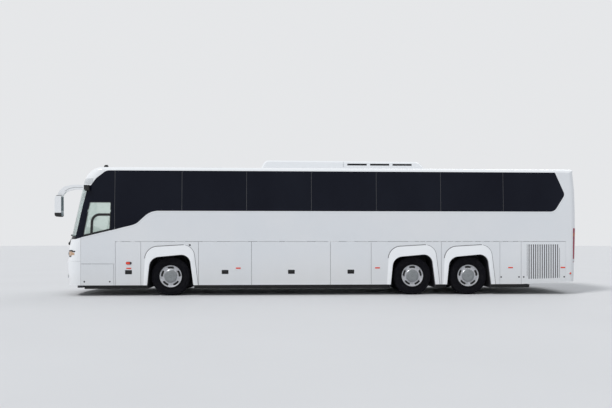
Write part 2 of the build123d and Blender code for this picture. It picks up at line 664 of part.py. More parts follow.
# Axles. The front beam ends in eyes for the kingpins.
EYE_R, EYE_HALF_H = 42, 60
SPINDLE_R = 42
with BuildPart() as front_axle:
    with Locations((FRONT_AXLE_X, 0, HUB_Z - 60)):
        Box(100, 2 * (KINGPIN_Y - 330), 90)
    for side in (LEFT, RIGHT):
        with Locations((FRONT_AXLE_X, side * (KINGPIN_Y - 200), HUB_Z - 20)):
            Box(90, 320, 70)
        with Locations((FRONT_AXLE_X, side * KINGPIN_Y, HUB_Z)):
            Cylinder(EYE_R, 2 * EYE_HALF_H)
            Cylinder(PIN_R + 0.5, 4 * EYE_HALF_H, mode=Mode.SUBTRACT)
save(front_axle, "front_axle")


def axle_tube(hub_x, tube_half_y, tube_r, end_y):
    """Axle housing across the vehicle with a bearing spindle at each end."""
    with BuildPart() as tube:
        with BuildSketch(Plane.XY.offset(HUB_Z)):
            with BuildLine():
                Polyline((hub_x, -end_y), (hub_x + SPINDLE_R, -end_y), (hub_x + SPINDLE_R, -tube_half_y),
                         (hub_x + tube_r, -tube_half_y), (hub_x + tube_r, tube_half_y),
                         (hub_x + SPINDLE_R, tube_half_y), (hub_x + SPINDLE_R, end_y), (hub_x, end_y),
                         close=True)
            make_face()
        revolve(axis=Axis((hub_x, 0, HUB_Z), (0, 1, 0)))
    return tube.part


INNER_TWIN_Y = WHEEL_Y - TWIN_PITCH
drive_tube = axle_tube(DRIVE_AXLE_X, INNER_TWIN_Y - TYRE_BULGE - 10, 80, WHEEL_Y + 60)
with BuildPart() as drive_axle:
    add(drive_tube)
    with BuildSketch(Plane.XZ):
        with Locations((DRIVE_AXLE_X, HUB_Z)):
            Circle(215)
    extrude(amount=150, both=True)
    chamfer(drive_axle.edges().filter_by(GeomType.CIRCLE).filter_by(lambda e: abs(e.radius - 215) < 1), 70)
save(drive_axle, "drive_axle")

with BuildPart() as tag_axle:
    add(axle_tube(TAG_AXLE_X, WHEEL_Y - TYRE_BULGE - 10, 65, WHEEL_Y + 60))
save(tag_axle, "tag_axle")

# Wheels, drawn once about the Y axis and then set on each hub. Tyre and rim are rings of flats, with
# one flat on the ground. A profile has pairs of half width over the flats and distance outboard.
FLATS = 60
TYRE_PROFILE = ((BEAD_R, -103), (410, -TYRE_BULGE), (TYRE_R, -112), (TYRE_R, 112), (410, TYRE_BULGE), (BEAD_R, 103))
RIM_BARREL = ((BEAD_R - 1, -112), (BEAD_R - 1, 104), (RIM_R, 134))
RIM_DISH = ((250, 106), (RIM_R - 5, 134))
RIM_HUB = ((196, 105), (120, 140), (24, 150))
RIM_BACK = ((235, -112), (222, 8))
INNER_RIM = ((BEAD_R - 1, -112 - TWIN_PITCH), (BEAD_R - 1, 112 - TWIN_PITCH), (110, 12))
HUB_BORE_R, HUB_BORE_END = 48, 105
SLOTS = 5
SLOT_R, SLOT_W, SLOT_TURNS = 250, 30, (-13, -4, 4, 13)


def flat_face(*corners):
    """Plane face with straight edges."""
    return Face(Wire.make_polygon(corners))


def ring_of_flats(profile, hollow=False):
    """Many-sided solid about the Y axis: closed at both ends, or a ring whose profile closes on itself."""
    turns = [math.radians(270 + 360 / FLATS * (i + 0.5)) for i in range(FLATS)]
    reach = 1 / math.cos(math.pi / FLATS)
    rings = [[(half * reach * math.cos(turn), y, half * reach * math.sin(turn)) for turn in turns]
             for half, y in profile]
    pairs = list(zip(rings[:-1], rings[1:])) + ([(rings[-1], rings[0])] if hollow else [])
    faces = [flat_face(near[i - 1], near[i], far[i], far[i - 1]) for near, far in pairs for i in range(FLATS)]
    if not hollow:
        faces += [flat_face(*rings[0]), flat_face(*rings[-1])]
    return Solid(Shell(faces))


def slot_cutters():
    """Five long slots near the edge of the wheel trim."""
    outer = [(SLOT_R + SLOT_W / 2, turn) for turn in SLOT_TURNS]
    inner = [(SLOT_R - SLOT_W / 2, turn) for turn in SLOT_TURNS[::-1]]
    line = [(r * math.cos(math.radians(turn)), r * math.sin(math.radians(turn))) for r, turn in outer + inner]
    with BuildPart() as cutters:
        with BuildSketch(Plane.XZ.offset(-90)):
            with PolarLocations(0, SLOTS, start_angle=90):
                Polygon(*line, align=None)
        extrude(amount=-100)
    return cutters.part


def wheel_rim(twin):
    """Dished wheel with its hub cover, and the wheel behind it on the drive axle."""
    bore_start = -112 - TWIN_PITCH if twin else 0
    with BuildPart() as rim:
        add(ring_of_flats(RIM_BARREL))
        add(ring_of_flats(RIM_DISH), mode=Mode.SUBTRACT)
        add(ring_of_flats(RIM_HUB))
        add(ring_of_flats(RIM_BACK), mode=Mode.SUBTRACT)
        if twin:
            add(ring_of_flats(INNER_RIM))
        with Locations((0, (bore_start + HUB_BORE_END) / 2, 0)):
            Cylinder(HUB_BORE_R, HUB_BORE_END - bore_start, rotation=(90, 0, 0), mode=Mode.SUBTRACT)
        add(slot_cutters(), mode=Mode.SUBTRACT)
    return rim.part


def on_hub(piece, hub_x, side):
    """Wheel piece set on its hub, mirrored for the right."""
    facing = piece if side == LEFT else piece.mirror(Plane.XZ)
    return Pos(hub_x, side * WHEEL_Y, HUB_Z) * facing


tyre_ring = ring_of_flats(TYRE_PROFILE, hollow=True)
single_rim, twin_rim = wheel_rim(False), wheel_rim(True)
WHEELS = (("front", FRONT_AXLE_X), ("drive", DRIVE_AXLE_X), ("tag", TAG_AXLE_X))
for place, hub_x in WHEELS:
    twin = place == "drive"
    for side, name in ((LEFT, "left"), (RIGHT, "right")):
        with BuildPart() as tyre:
            add(on_hub(tyre_ring, hub_x, side))
            if twin:
                add(on_hub(Pos(0, -TWIN_PITCH, 0) * tyre_ring, hub_x, side))
        save(tyre, f"tyre_{place}_{name}")
        with BuildPart() as rim:
            add(on_hub(twin_rim if twin else single_rim, hub_x, side))
        save(rim, f"rim_{place}_{name}")

# Steering knuckles: a fork around each eye, its pin, and the spindle that carries the wheel
for side, name in ((LEFT, "left"), (RIGHT, "right")):
    with BuildPart() as knuckle:
        for z in (HUB_Z + EYE_HALF_H + 6 + 12, HUB_Z - EYE_HALF_H - 6 - 12):
            with Locations((FRONT_AXLE_X, side * (KINGPIN_Y + 15), z)):
                Box(90, 120, 24)
        with Locations((FRONT_AXLE_X, side * (KINGPIN_Y + 62), HUB_Z)):
            Box(90, 26, 2 * EYE_HALF_H + 60)
        with Locations((FRONT_AXLE_X, side * KINGPIN_Y, HUB_Z)):
            Cylinder(PIN_R, 2 * EYE_HALF_H + 40)
        with Locations((FRONT_AXLE_X, side * (KINGPIN_Y + 118), HUB_Z)):
            Cylinder(SPINDLE_R, 100, rotation=(90, 0, 0))
    save(knuckle, f"knuckle_{name}")

# Cab: dashboard with its column, steering wheel and driver's seat
DASH_TOP_Z = 1460
DRIVER_Y = 640
COLUMN_TILT = 30                # of the wheel from level
STEER_AT = (5960, DRIVER_Y, 1700)
dash_plan = plan_section(CAB_FLOOR_Z, 6640, INNER_Y - 6, 320, NOSE_ARC_R, 6120)
tilt = math.radians(COLUMN_TILT)
column_axis = (-math.sin(tilt), 0, math.cos(tilt))
column_plane = Plane(origin=STEER_AT, x_dir=(math.cos(tilt), 0, math.sin(tilt)), z_dir=column_axis)
with BuildPart() as dashboard:
    extrude(dash_plan, amount=DASH_TOP_Z - CAB_FLOOR_Z)
    with BuildSketch(column_plane.offset(-30)):
        Circle(32)
    extrude(amount=-330)
save(dashboard, "dashboard")
with BuildPart() as steering_wheel:
    with BuildSketch(column_plane.offset(-12)):
        Circle(228)
        Circle(200, mode=Mode.SUBTRACT)
        with PolarLocations(125, 3):
            Rectangle(170, 34)
        Circle(60)
    extrude(amount=24)
save(steering_wheel, "steering_wheel")

# Seats: side outline of a cushion and back, drawn around the foot of the seat, facing forward
SEAT_LINE = [(-90, 0), (60, 0), (90, 350), (330, 380), (330, 490), (-60, 480), (-190, 1130), (-290, 1130),
             (-140, 380)]
SEAT_PITCH, SEAT_ROWS = 825, 13
FIRST_SEAT_X = 4400


def seat(at_x, low_y, high_y, floor_z):
    """One seat or pair of seats."""
    return side_prism([(at_x + x, floor_z + z) for x, z in SEAT_LINE], low_y, high_y)


with BuildPart() as driver_seat:
    add(seat(5420, DRIVER_Y - 250, DRIVER_Y + 250, CAB_FLOOR_Z))
save(driver_seat, "driver_seat")
with BuildPart() as passenger_seats:
    for row in range(SEAT_ROWS):
        at_x = FIRST_SEAT_X - row * SEAT_PITCH
        add(seat(at_x, 260, 1150, SALOON_Z))
        if row not in (6, 7):
            add(seat(at_x, -1150, -260, SALOON_Z))
save(passenger_seats, "passenger_seats")

with BuildPart() as engine_block:
    with Locations((-5500, 0, 830)):
        Box(1300, 760, 340)
save(engine_block, "engine_block")

# Roof pod, lamps, wipers and mirrors
POD_LINE = [(1651, ROOF_Z - 60), (1540, 3590), (-2590, 3572), (-2809, ROOF_Z - 60)]
POD_RADII = [0, 150, 190, 0]
POD_HALF_Y = 890
POD_SPLIT_X = -565
POD_SLOTS = ((-671, -1199), (-1287, -1810), (-1900, -2422))     # front and rear end of each
POD_SLOT_Z, POD_SLOT_H, POD_SLOT_DEPTH = 3488, 50, 40
with BuildPart() as roof_pod:
    add(side_prism(POD_LINE, -POD_HALF_Y, POD_HALF_Y, POD_RADII))
    rims = roof_pod.edges().filter_by(lambda e: abs(abs(e.center().Y) - POD_HALF_Y) < 1)
    chamfer([e for e in rims if e.center().Z > ROOF_Z + 60], 38)
    with Locations((POD_SPLIT_X, 0, ROOF_Z + 100)):
        Box(12, 3 * POD_HALF_Y, 240, mode=Mode.SUBTRACT)
    with Locations((POD_SPLIT_X, 0, ROOF_Z + 40)):
        Box(20, 2 * POD_HALF_Y - 60, 170)
    for front, rear in POD_SLOTS:
        with Locations([((front + rear) / 2, side * POD_HALF_Y, POD_SLOT_Z) for side in (LEFT, RIGHT)]):
            Box(front - rear, 2 * POD_SLOT_DEPTH, POD_SLOT_H, mode=Mode.SUBTRACT)
    add(side_skin, mode=Mode.SUBTRACT)
save(roof_pod, "roof_pod")

lamp_zone = side_prism([(6560, 1010), (7000, 1010), (7000, 1190), (6500, 1190)], -REACH, REACH)
with BuildPart() as lamp_shape:
    add(nose_wall(-4, 0))
    add(lamp_zone, mode=Mode.INTERSECT)
    with Locations((6800, 0, 1100)):
        Box(900, 1300, 400, mode=Mode.SUBTRACT)
save(lamp_shape, "headlamps")

with BuildPart() as tail_lamps:
    add(tail_wall(-14, 0))
    add(cross_prism(1180, 860, 1760, 0), mode=Mode.INTERSECT)
    add(cross_prism(1050, 800, 1860, 0), mode=Mode.SUBTRACT)
save(tail_lamps, "tail_lamps")

WIPER_Z = 1560
with BuildPart() as wipers:
    with BuildSketch(Plane.XY.offset(WIPER_Z)):
        for low_y, high_y in ((-950, -60), (60, 950)):
            with BuildLine():
                tip_x = screen_x(WIPER_Z)
                points = []
                for depth in (14, 30):
                    for y in (low_y, (low_y + high_y) / 2, high_y):
                        points.append((tip_x + depth - y * y / (2 * NOSE_ARC_R), y))
                ThreePointArc(*points[:3])
                Line(points[2], points[5])
                ThreePointArc(*points[3:])
                Line(points[3], points[0])
            make_face()
    extrude(amount=36)
save(wipers, "wipers")

MIRROR_FRONT_X = 6890
nose_block = end_hull(NOSE_LINE, 0, NOSE_CORNER_R, NOSE_ARC_R, NOSE_JOINT_X)
ARM_LINE = [(6060, 2748), (6420, 2752), (6630, 2700), (6738, 2570), (6868, 2570), (6800, 2720), (6680, 2830),
            (6440, 2872), (6060, 2870)]
ARM_RADII = [0, 120, 120, 0, 0, 150, 200, 200, 0]
HEAD_SECTION = [(6728, 2048), (MIRROR_FRONT_X, 2048), (MIRROR_FRONT_X, 2490), (6866, 2598), (6728, 2598)]
with BuildPart() as mirror_arms:
    for side in (LEFT, RIGHT):
        low_y, high_y = on_side(side, 1236, 1306)
        add(side_prism(ARM_LINE, low_y, high_y, ARM_RADII))
        low_y, high_y = on_side(side, 1100, 1240)
        add(side_prism(box_outline(6055, 6175, 2722, 2860), low_y, high_y))
    add(nose_block, mode=Mode.SUBTRACT)
save(mirror_arms, "mirror_arms")
with BuildPart() as mirror_heads:
    for side in (LEFT, RIGHT):
        low_y, high_y = on_side(side, 1205, 1390)
        add(side_prism(HEAD_SECTION, low_y, high_y, [40, 60, 80, 60, 30]))
    add(mirror_arms.part, mode=Mode.SUBTRACT)
save(mirror_heads, "mirror_heads")
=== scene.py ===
"""Looks of a white three-axle touring coach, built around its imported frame. Metres."""

import json
import math

import bmesh
import bpy
from mathutils import Matrix, Vector
from mathutils.bvhtree import BVHTree

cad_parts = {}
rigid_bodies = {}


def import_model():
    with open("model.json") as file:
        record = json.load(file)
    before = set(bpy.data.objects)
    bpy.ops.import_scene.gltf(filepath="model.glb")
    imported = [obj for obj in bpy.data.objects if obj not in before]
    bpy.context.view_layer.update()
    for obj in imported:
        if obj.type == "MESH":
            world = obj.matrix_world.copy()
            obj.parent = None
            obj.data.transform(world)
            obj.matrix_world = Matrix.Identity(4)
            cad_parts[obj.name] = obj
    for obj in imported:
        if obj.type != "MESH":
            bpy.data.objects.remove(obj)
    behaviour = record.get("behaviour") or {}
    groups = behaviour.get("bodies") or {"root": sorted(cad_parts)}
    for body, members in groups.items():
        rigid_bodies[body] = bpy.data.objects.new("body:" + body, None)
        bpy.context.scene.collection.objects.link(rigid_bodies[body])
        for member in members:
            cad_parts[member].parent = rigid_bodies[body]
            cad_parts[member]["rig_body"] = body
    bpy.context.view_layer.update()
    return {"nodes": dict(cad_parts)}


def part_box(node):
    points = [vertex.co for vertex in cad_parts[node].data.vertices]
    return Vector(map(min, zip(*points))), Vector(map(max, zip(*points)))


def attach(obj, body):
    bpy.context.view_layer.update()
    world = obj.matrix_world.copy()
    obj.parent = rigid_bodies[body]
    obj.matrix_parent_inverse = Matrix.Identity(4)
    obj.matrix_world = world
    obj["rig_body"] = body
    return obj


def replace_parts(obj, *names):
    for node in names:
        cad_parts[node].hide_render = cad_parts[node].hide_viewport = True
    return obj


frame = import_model()

# Driving dimensions, read from the frame
LEFT, RIGHT = 1, -1
SIDES = ((LEFT, "left"), (RIGHT, "right"))
SKIN_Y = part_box("hold_door_left_front")[1].y
ROOF_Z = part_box("rear_dome")[1].z
TYRE_R = (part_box("tyre_front_left")[1].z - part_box("tyre_front_left")[0].z) / 2


# Mesh making

TURNED_WELD = 0.00005                                 # joins the points of a turned mesh on its axis
SOLID_WELD, SLIVER = 0.00002, 0.00001                 # joins a solid's faces, clears its slivers


def new_piece(name, mesh, body="coach", finish=None):
    """Object in the scene that rides on a body."""
    piece = bpy.data.objects.new(name, mesh)
    bpy.context.scene.collection.objects.link(piece)
    if finish:
        piece.data.materials.append(finish)
    if body:
        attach(piece, body)
    return piece


def smooth(mesh, angle=32):
    """Smooth shading with sharp edges past an angle in degrees."""
    mesh.shade_smooth()
    mesh.set_sharp_from_angle(angle=math.radians(angle))
    return mesh


def lofted(rings, closed=False, name="loft", angle=40, open_section=False):
    """Mesh through rings with the same number of points, turned outward and smooth shaded.

    A closed loft joins its last ring to the first. Otherwise both ends get a flat face. An open section
    leaves out the strip between the last and the first point of a ring.
    """
    count, size = len(rings), len(rings[0])
    shape = bmesh.new()
    made = [shape.verts.new(v) for ring in rings for v in ring]
    for i in range(count if closed else count - 1):
        near, far = i * size, (i + 1) % count * size
        for k in range(size - 1 if open_section else size):
            m = (k + 1) % size
            shape.faces.new((made[near + k], made[near + m], made[far + m], made[far + k]))
    if not closed:
        shape.faces.new(made[:size][::-1])
        shape.faces.new(made[-size:])
    if open_section:
        bmesh.ops.remove_doubles(shape, verts=shape.verts, dist=TURNED_WELD)
    return from_bmesh(shape, name, angle)


def from_bmesh(shape, name="shape", angle=32):
    """Mesh from a finished bmesh."""
    mesh = bpy.data.meshes.new(name)
    bmesh.ops.recalc_face_normals(shape, faces=shape.faces)
    shape.to_mesh(mesh)
    shape.free()
    return smooth(mesh, angle)


def baked(piece):
    """Apply every modifier of a piece to its mesh."""
    bpy.context.view_layer.update()
    graph = bpy.context.evaluated_depsgraph_get()
    mesh = bpy.data.meshes.new_from_object(piece.evaluated_get(graph))
    piece.modifiers.clear()
    piece.data = smooth(mesh)


def joined(name, meshes, body="coach", finish=None, angle=32):
    """One piece from several meshes."""
    shape = bmesh.new()
    for mesh in meshes:
        shape.from_mesh(mesh)
    mesh = bpy.data.meshes.new(name)
    shape.to_mesh(mesh)
    shape.free()
    return new_piece(name, smooth(mesh, angle), body, finish)


def placed(mesh, matrix):
    """Copy of a mesh moved by a matrix."""
    copy = mesh.copy()
    copy.transform(matrix)
    if matrix.determinant() < 0:
        copy.flip_normals()
    return copy


def rounded_outline(corners, radii, steps=6):
    """Closed outline in a plane with an arc at each corner."""
    count = len(corners)
    if not isinstance(radii, (list, tuple)):
        radii = [radii] * count
    points = []
    for i, radius in enumerate(radii):
        here = Vector(corners[i])
        before = (Vector(corners[i - 1]) - here).normalized()
        after = (Vector(corners[(i + 1) % count]) - here).normalized()
        if radius <= 0:
            points.append(here)
            continue
        half = before.angle(after) / 2
        reach = radius / math.tan(half)
        middle = here + (before + after).normalized() * (radius / math.sin(half))
        start = here + before * reach - middle
        sweep = math.pi - 2 * half
        if before.x * after.y - before.y * after.x > 0:
            sweep = -sweep
        for step in range(steps + 1):
            turn = sweep * step / steps
            points.append(middle + Vector((start.x * math.cos(turn) - start.y * math.sin(turn),
                                           start.x * math.sin(turn) + start.y * math.cos(turn))))
    return points


def rectangle(x0, x1, z0, z1):
    """Corners of an upright rectangle."""
    return [(x0, z0), (x1, z0), (x1, z1), (x0, z1)]


def prism(outline, low, high, axis="y", edge=0.0, segments=2):
    """Outline carried along an axis. It lists X and Z for y, Y and Z for x, X and Y for z."""
    def point(a, b, depth):
        return {"y": (a, depth, b), "x": (depth, a, b), "z": (a, b, depth)}[axis]
    shape = bmesh.new()
    lower = [shape.verts.new(point(a, b, low)) for a, b in outline]
    upper = [shape.verts.new(point(a, b, high)) for a, b in outline]
    shape.faces.new(lower)
    shape.faces.new(upper[::-1])
    for i in range(len(outline)):
        j = (i + 1) % len(outline)
        shape.faces.new((lower[j], lower[i], upper[i], upper[j]))
    if edge:
        rims = [e for e in shape.edges if any(len(f.verts) > 4 or f.calc_area() > 0 for f in e.link_faces)
                and e.calc_face_angle(0) > math.radians(35)]
        bmesh.ops.bevel(shape, geom=rims, offset=edge, segments=segments, profile=0.6, affect="EDGES",
                        clamp_overlap=True)
    return from_bmesh(shape)


def block(x0, x1, y0, y1, z0, z1, edge=0.003):
    """Mesh of a box with rounded edges."""
    return prism(rectangle(x0, x1, z0, z1), y0, y1, "y", edge)


def plate(corners, radii, low, high, edge=0.0, axis="y", steps=6, segments=2):
    """Mesh of a rectangle with round corners, carried along an axis."""
    return prism(rounded_outline(rectangle(*corners), radii, steps), low, high, axis, edge, segments)


def turned(section, centre=(0, 0, 0), turn_axis="y", side=1, segments=96, angle=32):
    """Mesh turned about an axis. The section lists distance from the axis, then distance along it."""
    rings = []
    for step in range(segments):
        turn = 2 * math.pi * step / segments
        ring = []
        for radius, along in section:
            a, b, depth = radius * math.cos(turn), radius * math.sin(turn), side * along
            offset = {"y": (a, depth, b), "x": (depth, a, b), "z": (a, b, depth)}[turn_axis]
            ring.append(Vector(centre) + Vector(offset))
        rings.append(ring)
    return lofted(rings, True, "turned", angle, True)


def tube(points, radius, sides=10, closed=False, flat=1.0):
    """Mesh of a round rod along a path."""
    path = [Vector(p) for p in points]
    count = len(path)
    rings = []
    up = Vector((0.013, 0.021, 1))
    for i, point in enumerate(path):
        if closed:
            way = path[(i + 1) % count] - path[i - 1]
        else:
            way = path[min(i + 1, count - 1)] - path[max(i - 1, 0)]
        way.normalize()
        across = way.cross(up).normalized()
        over = across.cross(way).normalized()
        turns = [2 * math.pi * k / sides for k in range(sides)]
        rings.append([point + across * radius * math.cos(turn) + over * radius * flat * math.sin(turn)
                      for turn in turns])
    return lofted(rings, closed, "tube", 50)


def solid_of(node):
    """Welded copy of a CAD node's mesh, without its split normals."""
    source = frame["nodes"][node].data
    shape = bmesh.new()
    made = [shape.verts.new(v.co) for v in source.vertices]
    for face in source.polygons:
        try:
            shape.faces.new([made[i] for i in face.vertices])
        except ValueError:
            continue
    bmesh.ops.remove_doubles(shape, verts=shape.verts, dist=SOLID_WELD)
    bmesh.ops.dissolve_degenerate(shape, edges=shape.edges, dist=SLIVER)
    mesh = bpy.data.meshes.new(node)
    shape.to_mesh(mesh)
    shape.free()
    return mesh


def body_of(node):
    """Name of the body that carries a CAD node."""
    return frame["nodes"][node]["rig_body"]


def boolean(piece, cutter, operation="DIFFERENCE"):
    """Cut a piece with a mesh, or keep what is inside it."""
    tool = bpy.data.objects.new("cutter", cutter)
    bpy.context.scene.collection.objects.link(tool)
    change = piece.modifiers.new("cut", "BOOLEAN")
    change.operation = operation
    change.solver = "EXACT"
    change.object = tool
    baked(piece)
    bpy.data.objects.remove(tool)


def dressed(node, finish, name=None, cutters=()):
    """Smooth copy of a CAD node with its real finish, which stands for the node."""
    piece = new_piece(name or node + "_panel", smooth(solid_of(node)), None, finish)
    for cutter in cutters:
        boolean(piece, cutter)
    piece.modifiers.new("even", "WEIGHTED_NORMAL").keep_sharp = True
    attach(piece, body_of(node))
    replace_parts(piece, node)
    return piece


def chunk(name, node, cutter, finish, proud=0.0):
    """Piece cut out of a CAD node's own form by a mesh, pushed outward along its normals."""
    piece = new_piece(name, smooth(solid_of(node)), None, finish)
    boolean(piece, cutter, "INTERSECT")
    if proud:
        shape = bmesh.new()
        shape.from_mesh(piece.data)
        shape.normal_update()
        for v, normal in [(v, v.normal.copy()) for v in shape.verts]:
            v.co += normal * proud
        shape.to_mesh(piece.data)
        shape.free()
        smooth(piece.data)
    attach(piece, body_of(node))
    return piece


# Shader making

class Value:
    """Shader socket that takes part in Python expressions."""

    def __init__(self, finish, socket):
        self.finish = finish
        self.socket = socket

    def math(self, operation, first, second=0.0, clamp=False):
        settings = {"operation": operation, "use_clamp": clamp}
        return self.finish.node("ShaderNodeMath", settings, {0: first, 1: second})

    def __add__(self, other):
        return self.math("ADD", self, other)

    def __radd__(self, other):
        return self.math("ADD", other, self)

    def __rsub__(self, other):
        return self.math("SUBTRACT", other, self)

    def __mul__(self, other):
        return self.math("MULTIPLY", self, other)

    def above(self, other):
        return self.math("GREATER_THAN", self, other)

    def below(self, other):
        return self.math("LESS_THAN", self, other)

    def most(self, other):
        return self.math("MAXIMUM", self, other)

    def clamped(self):
        return self.math("ADD", self, clamp=True)

    def wave(self):
        return self.math("SINE", self)


class Finish:
    """Procedural material under construction."""

    def __init__(self, name, colour, roughness, **plain):
        self.material = bpy.data.materials.new(name)
        self.material.use_nodes = True
        self.tree = self.material.node_tree
        self.shader = self.tree.nodes["Principled BSDF"]
        self.shader.inputs["Base Color"].default_value = (*colour, 1)
        self.shader.inputs["Roughness"].default_value = roughness
        for key, value in plain.items():
            self.shader.inputs[key.replace("_", " ")].default_value = value

    def feed(self, socket, value):
        if isinstance(value, Value):
            self.tree.links.new(value.socket, socket)
        elif isinstance(value, (tuple, list)) and len(value) == 3 and len(socket.default_value) == 4:
            socket.default_value = (*value, 1)
        else:
            socket.default_value = value

    def node(self, kind, settings=(), sockets=(), output=0):
        """One shader node: settings first, then the values or links of its sockets."""
        made = self.tree.nodes.new(kind)
        for name, value in dict(settings).items():
            setattr(made, name, value)
        for key, value in dict(sockets).items():
            self.feed(made.inputs[key], value)
        return Value(self, made.outputs[output])

    def place(self):
        """Position in the frame, in metres."""
        return self.node("ShaderNodeTexCoord", output="Object")

    def along(self, axis):
        """One coordinate of the position."""
        return self.node("ShaderNodeSeparateXYZ", (), {0: self.place()}, "XYZ".index(axis))

    def noise(self, scale, detail=3.0, rough=0.5, stretch=None):
        where = self.place()
        if stretch:
            where = self.node("ShaderNodeVectorMath", {"operation": "MULTIPLY"}, {0: where, 1: stretch})
        sockets = {"Vector": where, "Scale": scale, "Detail": detail, "Roughness": rough}
        return self.node("ShaderNodeTexNoise", (), sockets)

    def mix(self, factor, first, second):
        """Blend of two colours."""
        return self.node("ShaderNodeMix", {"data_type": "RGBA"}, {0: factor, 6: first, 7: second}, 2)

    def range(self, value, low, high):
        """Smooth step from 0 at the low value to 1 at the high one."""
        return self.node("ShaderNodeMapRange", {"interpolation_type": "SMOOTHSTEP"},
                         {0: value, 1: low, 2: high, 3: 0.0, 4: 1.0})

    def give(self, **sockets):
        for key, value in sockets.items():
            self.feed(self.shader.inputs[key.replace("_", " ")], value)
        return self

    def bump(self, height, strength=0.3, distance=0.001):
        made = self.node("ShaderNodeBump", (), {"Strength": strength, "Distance": distance, "Height": height})
        self.feed(self.shader.inputs["Normal"], made)
        return self


def coach_white():
    """Gloss white paint with road dust low on the sides."""
    paint = Finish("coach_white", (0.80, 0.815, 0.84), 0.34, Coat_Weight=0.55, Coat_Roughness=0.08)
    height = paint.along("Z")
    cloud = paint.noise(0.7, 4.0)
    streaks = paint.noise(2.2, 5.0, 0.6, (1.0, 1.0, 0.12))
    low = 1 - paint.range(height, 0.25, 1.25)
    dust = (low * (0.25 + streaks * 0.75)).clamped()
    tone = paint.mix(paint.range(cloud, 0.3, 0.7), (0.785, 0.805, 0.835), (0.815, 0.825, 0.845))
    paint.give(Base_Color=paint.mix(dust * 0.34, tone, (0.60, 0.585, 0.545)),
               Roughness=0.32 + dust * 0.25 + cloud * 0.06,
               Coat_Weight=0.6 - dust * 0.35)
    return paint.bump(paint.noise(38.0, 2.0), 0.02, 0.0006).material


def seam_dark():
    """Shadow gap and weather strip between panels."""
    strip = Finish("seam_rubber", (0.035, 0.035, 0.04), 0.7)
    strip.give(Roughness=0.6 + strip.noise(60.0) * 0.25)
    return strip.bump(strip.noise(120.0), 0.2, 0.0004).material


def dark_glass():
    """Deep tinted bonded glass."""
    pane = Finish("dark_glass", (0.004, 0.0048, 0.011), 0.04, Specular_IOR_Level=0.10)
    haze = pane.noise(0.9, 3.0, 0.55, (1.0, 1.0, 0.5))
    grime = pane.noise(9.0, 5.0, 0.6, (1.0, 1.0, 0.25))
    pane.give(Base_Color=pane.mix(haze, (0.0028, 0.0034, 0.0095), (0.0105, 0.0128, 0.0215)),
              Roughness=0.03 + grime * 0.05)
    return pane.material


def clear_glass(name="clear_glass", tint=(0.74, 0.88, 0.80), cover=0.20):
    """Pale green laminated glass."""
    pane = Finish(name, tint, 0.03, Specular_IOR_Level=0.5)
    edge = pane.noise(1.4, 3.0)
    pane.give(Alpha=cover + edge * 0.06, Roughness=0.02 + edge * 0.03)
    return pane.material


def worn(name, colour, roughness, tones, cloud, limits, wear, grain, bump, **plain):
    """Finish whose tone and roughness follow one noise, with a fine grain.

    Cloud and grain give the scale, detail and roughness of their noise, limits the range of the cloud that
    blends the tones, wear the least roughness and its span, bump the strength and depth of the grain.
    """
    finish = Finish(name, colour, roughness, **plain)
    dust = finish.noise(*cloud)
    share = finish.range(dust, *limits) if limits else dust
    finish.give(Base_Color=finish.mix(share, *tones), Roughness=wear[0] + dust * wear[1])
    return finish.bump(finish.noise(*grain), *bump).material


def black_plastic(name="black_plastic", roughness=0.32, level=0.018):
    """Moulded black plastic with fine grain."""
    tones = ((level * 0.8,) * 3, (level * 1.7, level * 1.7, level * 1.8))
    return worn(name, (level, level, level * 1.08), roughness, tones, (5.0, 4.0), None, (roughness, 0.16),
                (260.0, 2.0), (0.12, 0.0003))


def raw_casting():
    """Rough cast iron."""
    iron = Finish("raw_casting", (0.10, 0.10, 0.102), 0.58, Metallic=0.7)
    grain = iron.noise(70.0, 5.0, 0.6)
    rust = iron.range(iron.noise(6.0, 6.0, 0.7), 0.5, 0.75)
    iron.give(Base_Color=iron.mix(rust * 0.6, (0.09, 0.09, 0.092), (0.16, 0.085, 0.05)),
              Roughness=0.45 + grain * 0.3)
    return iron.bump(grain, 0.35, 0.0015).material


def cabin_plastic():
    """Grey grained lining."""
    skin = Finish("cabin_plastic", (0.10, 0.105, 0.115), 0.62)
    grain = skin.noise(190.0, 3.0)
    skin.give(Roughness=0.55 + grain * 0.2,
              Base_Color=skin.mix(skin.noise(2.0), (0.085, 0.09, 0.10), (0.125, 0.13, 0.14)))
    return skin.bump(grain, 0.2, 0.0005).material


def floor_covering():
    """Speckled grey floor covering."""
    cover = Finish("floor_covering", (0.20, 0.20, 0.215), 0.6)
    speck = cover.range(cover.noise(320.0, 1.0), 0.56, 0.62)
    cover.give(Base_Color=cover.mix(speck, (0.17, 0.17, 0.185), (0.34, 0.34, 0.35)),
               Roughness=0.55 + cover.noise(8.0) * 0.2)
    return cover.bump(cover.noise(150.0), 0.1, 0.0004).material


def seat_cloth():
    """Dark blue moquette with a small woven pattern."""
    threads = 1250.0
    cloth = Finish("seat_cloth", (0.05, 0.06, 0.12), 0.9, Sheen_Weight=0.35)
    across = (cloth.along("Y") * threads).wave()
    up = ((cloth.along("Z") + cloth.along("X")) * threads).wave()
    weave = (across * up + 1) * 0.5
    fleck = cloth.range(cloth.noise(55.0, 2.0), 0.52, 0.60)
    cloth.give(Base_Color=cloth.mix(fleck, (0.035, 0.045, 0.10), (0.12, 0.15, 0.27)),
               Roughness=0.82 + weave * 0.12)
    return cloth.bump(weave, 0.3, 0.0006).material


def lamp_glass(name, colour):
    """Moulded lamp lens with fine ribs under a gloss surface."""
    fine = 420.0
    lens = Finish(name, colour, 0.08, Coat_Weight=0.6, Specular_IOR_Level=0.5)
    ribs = (lens.along("Z") * fine).wave() * (lens.along("Y") * fine).wave()
    dark = tuple(c * 0.72 for c in colour)
    lens.give(Base_Color=lens.mix(lens.range(ribs, -0.6, 0.6), dark, colour))
    return lens.bump(ribs, 0.25, 0.0006).material


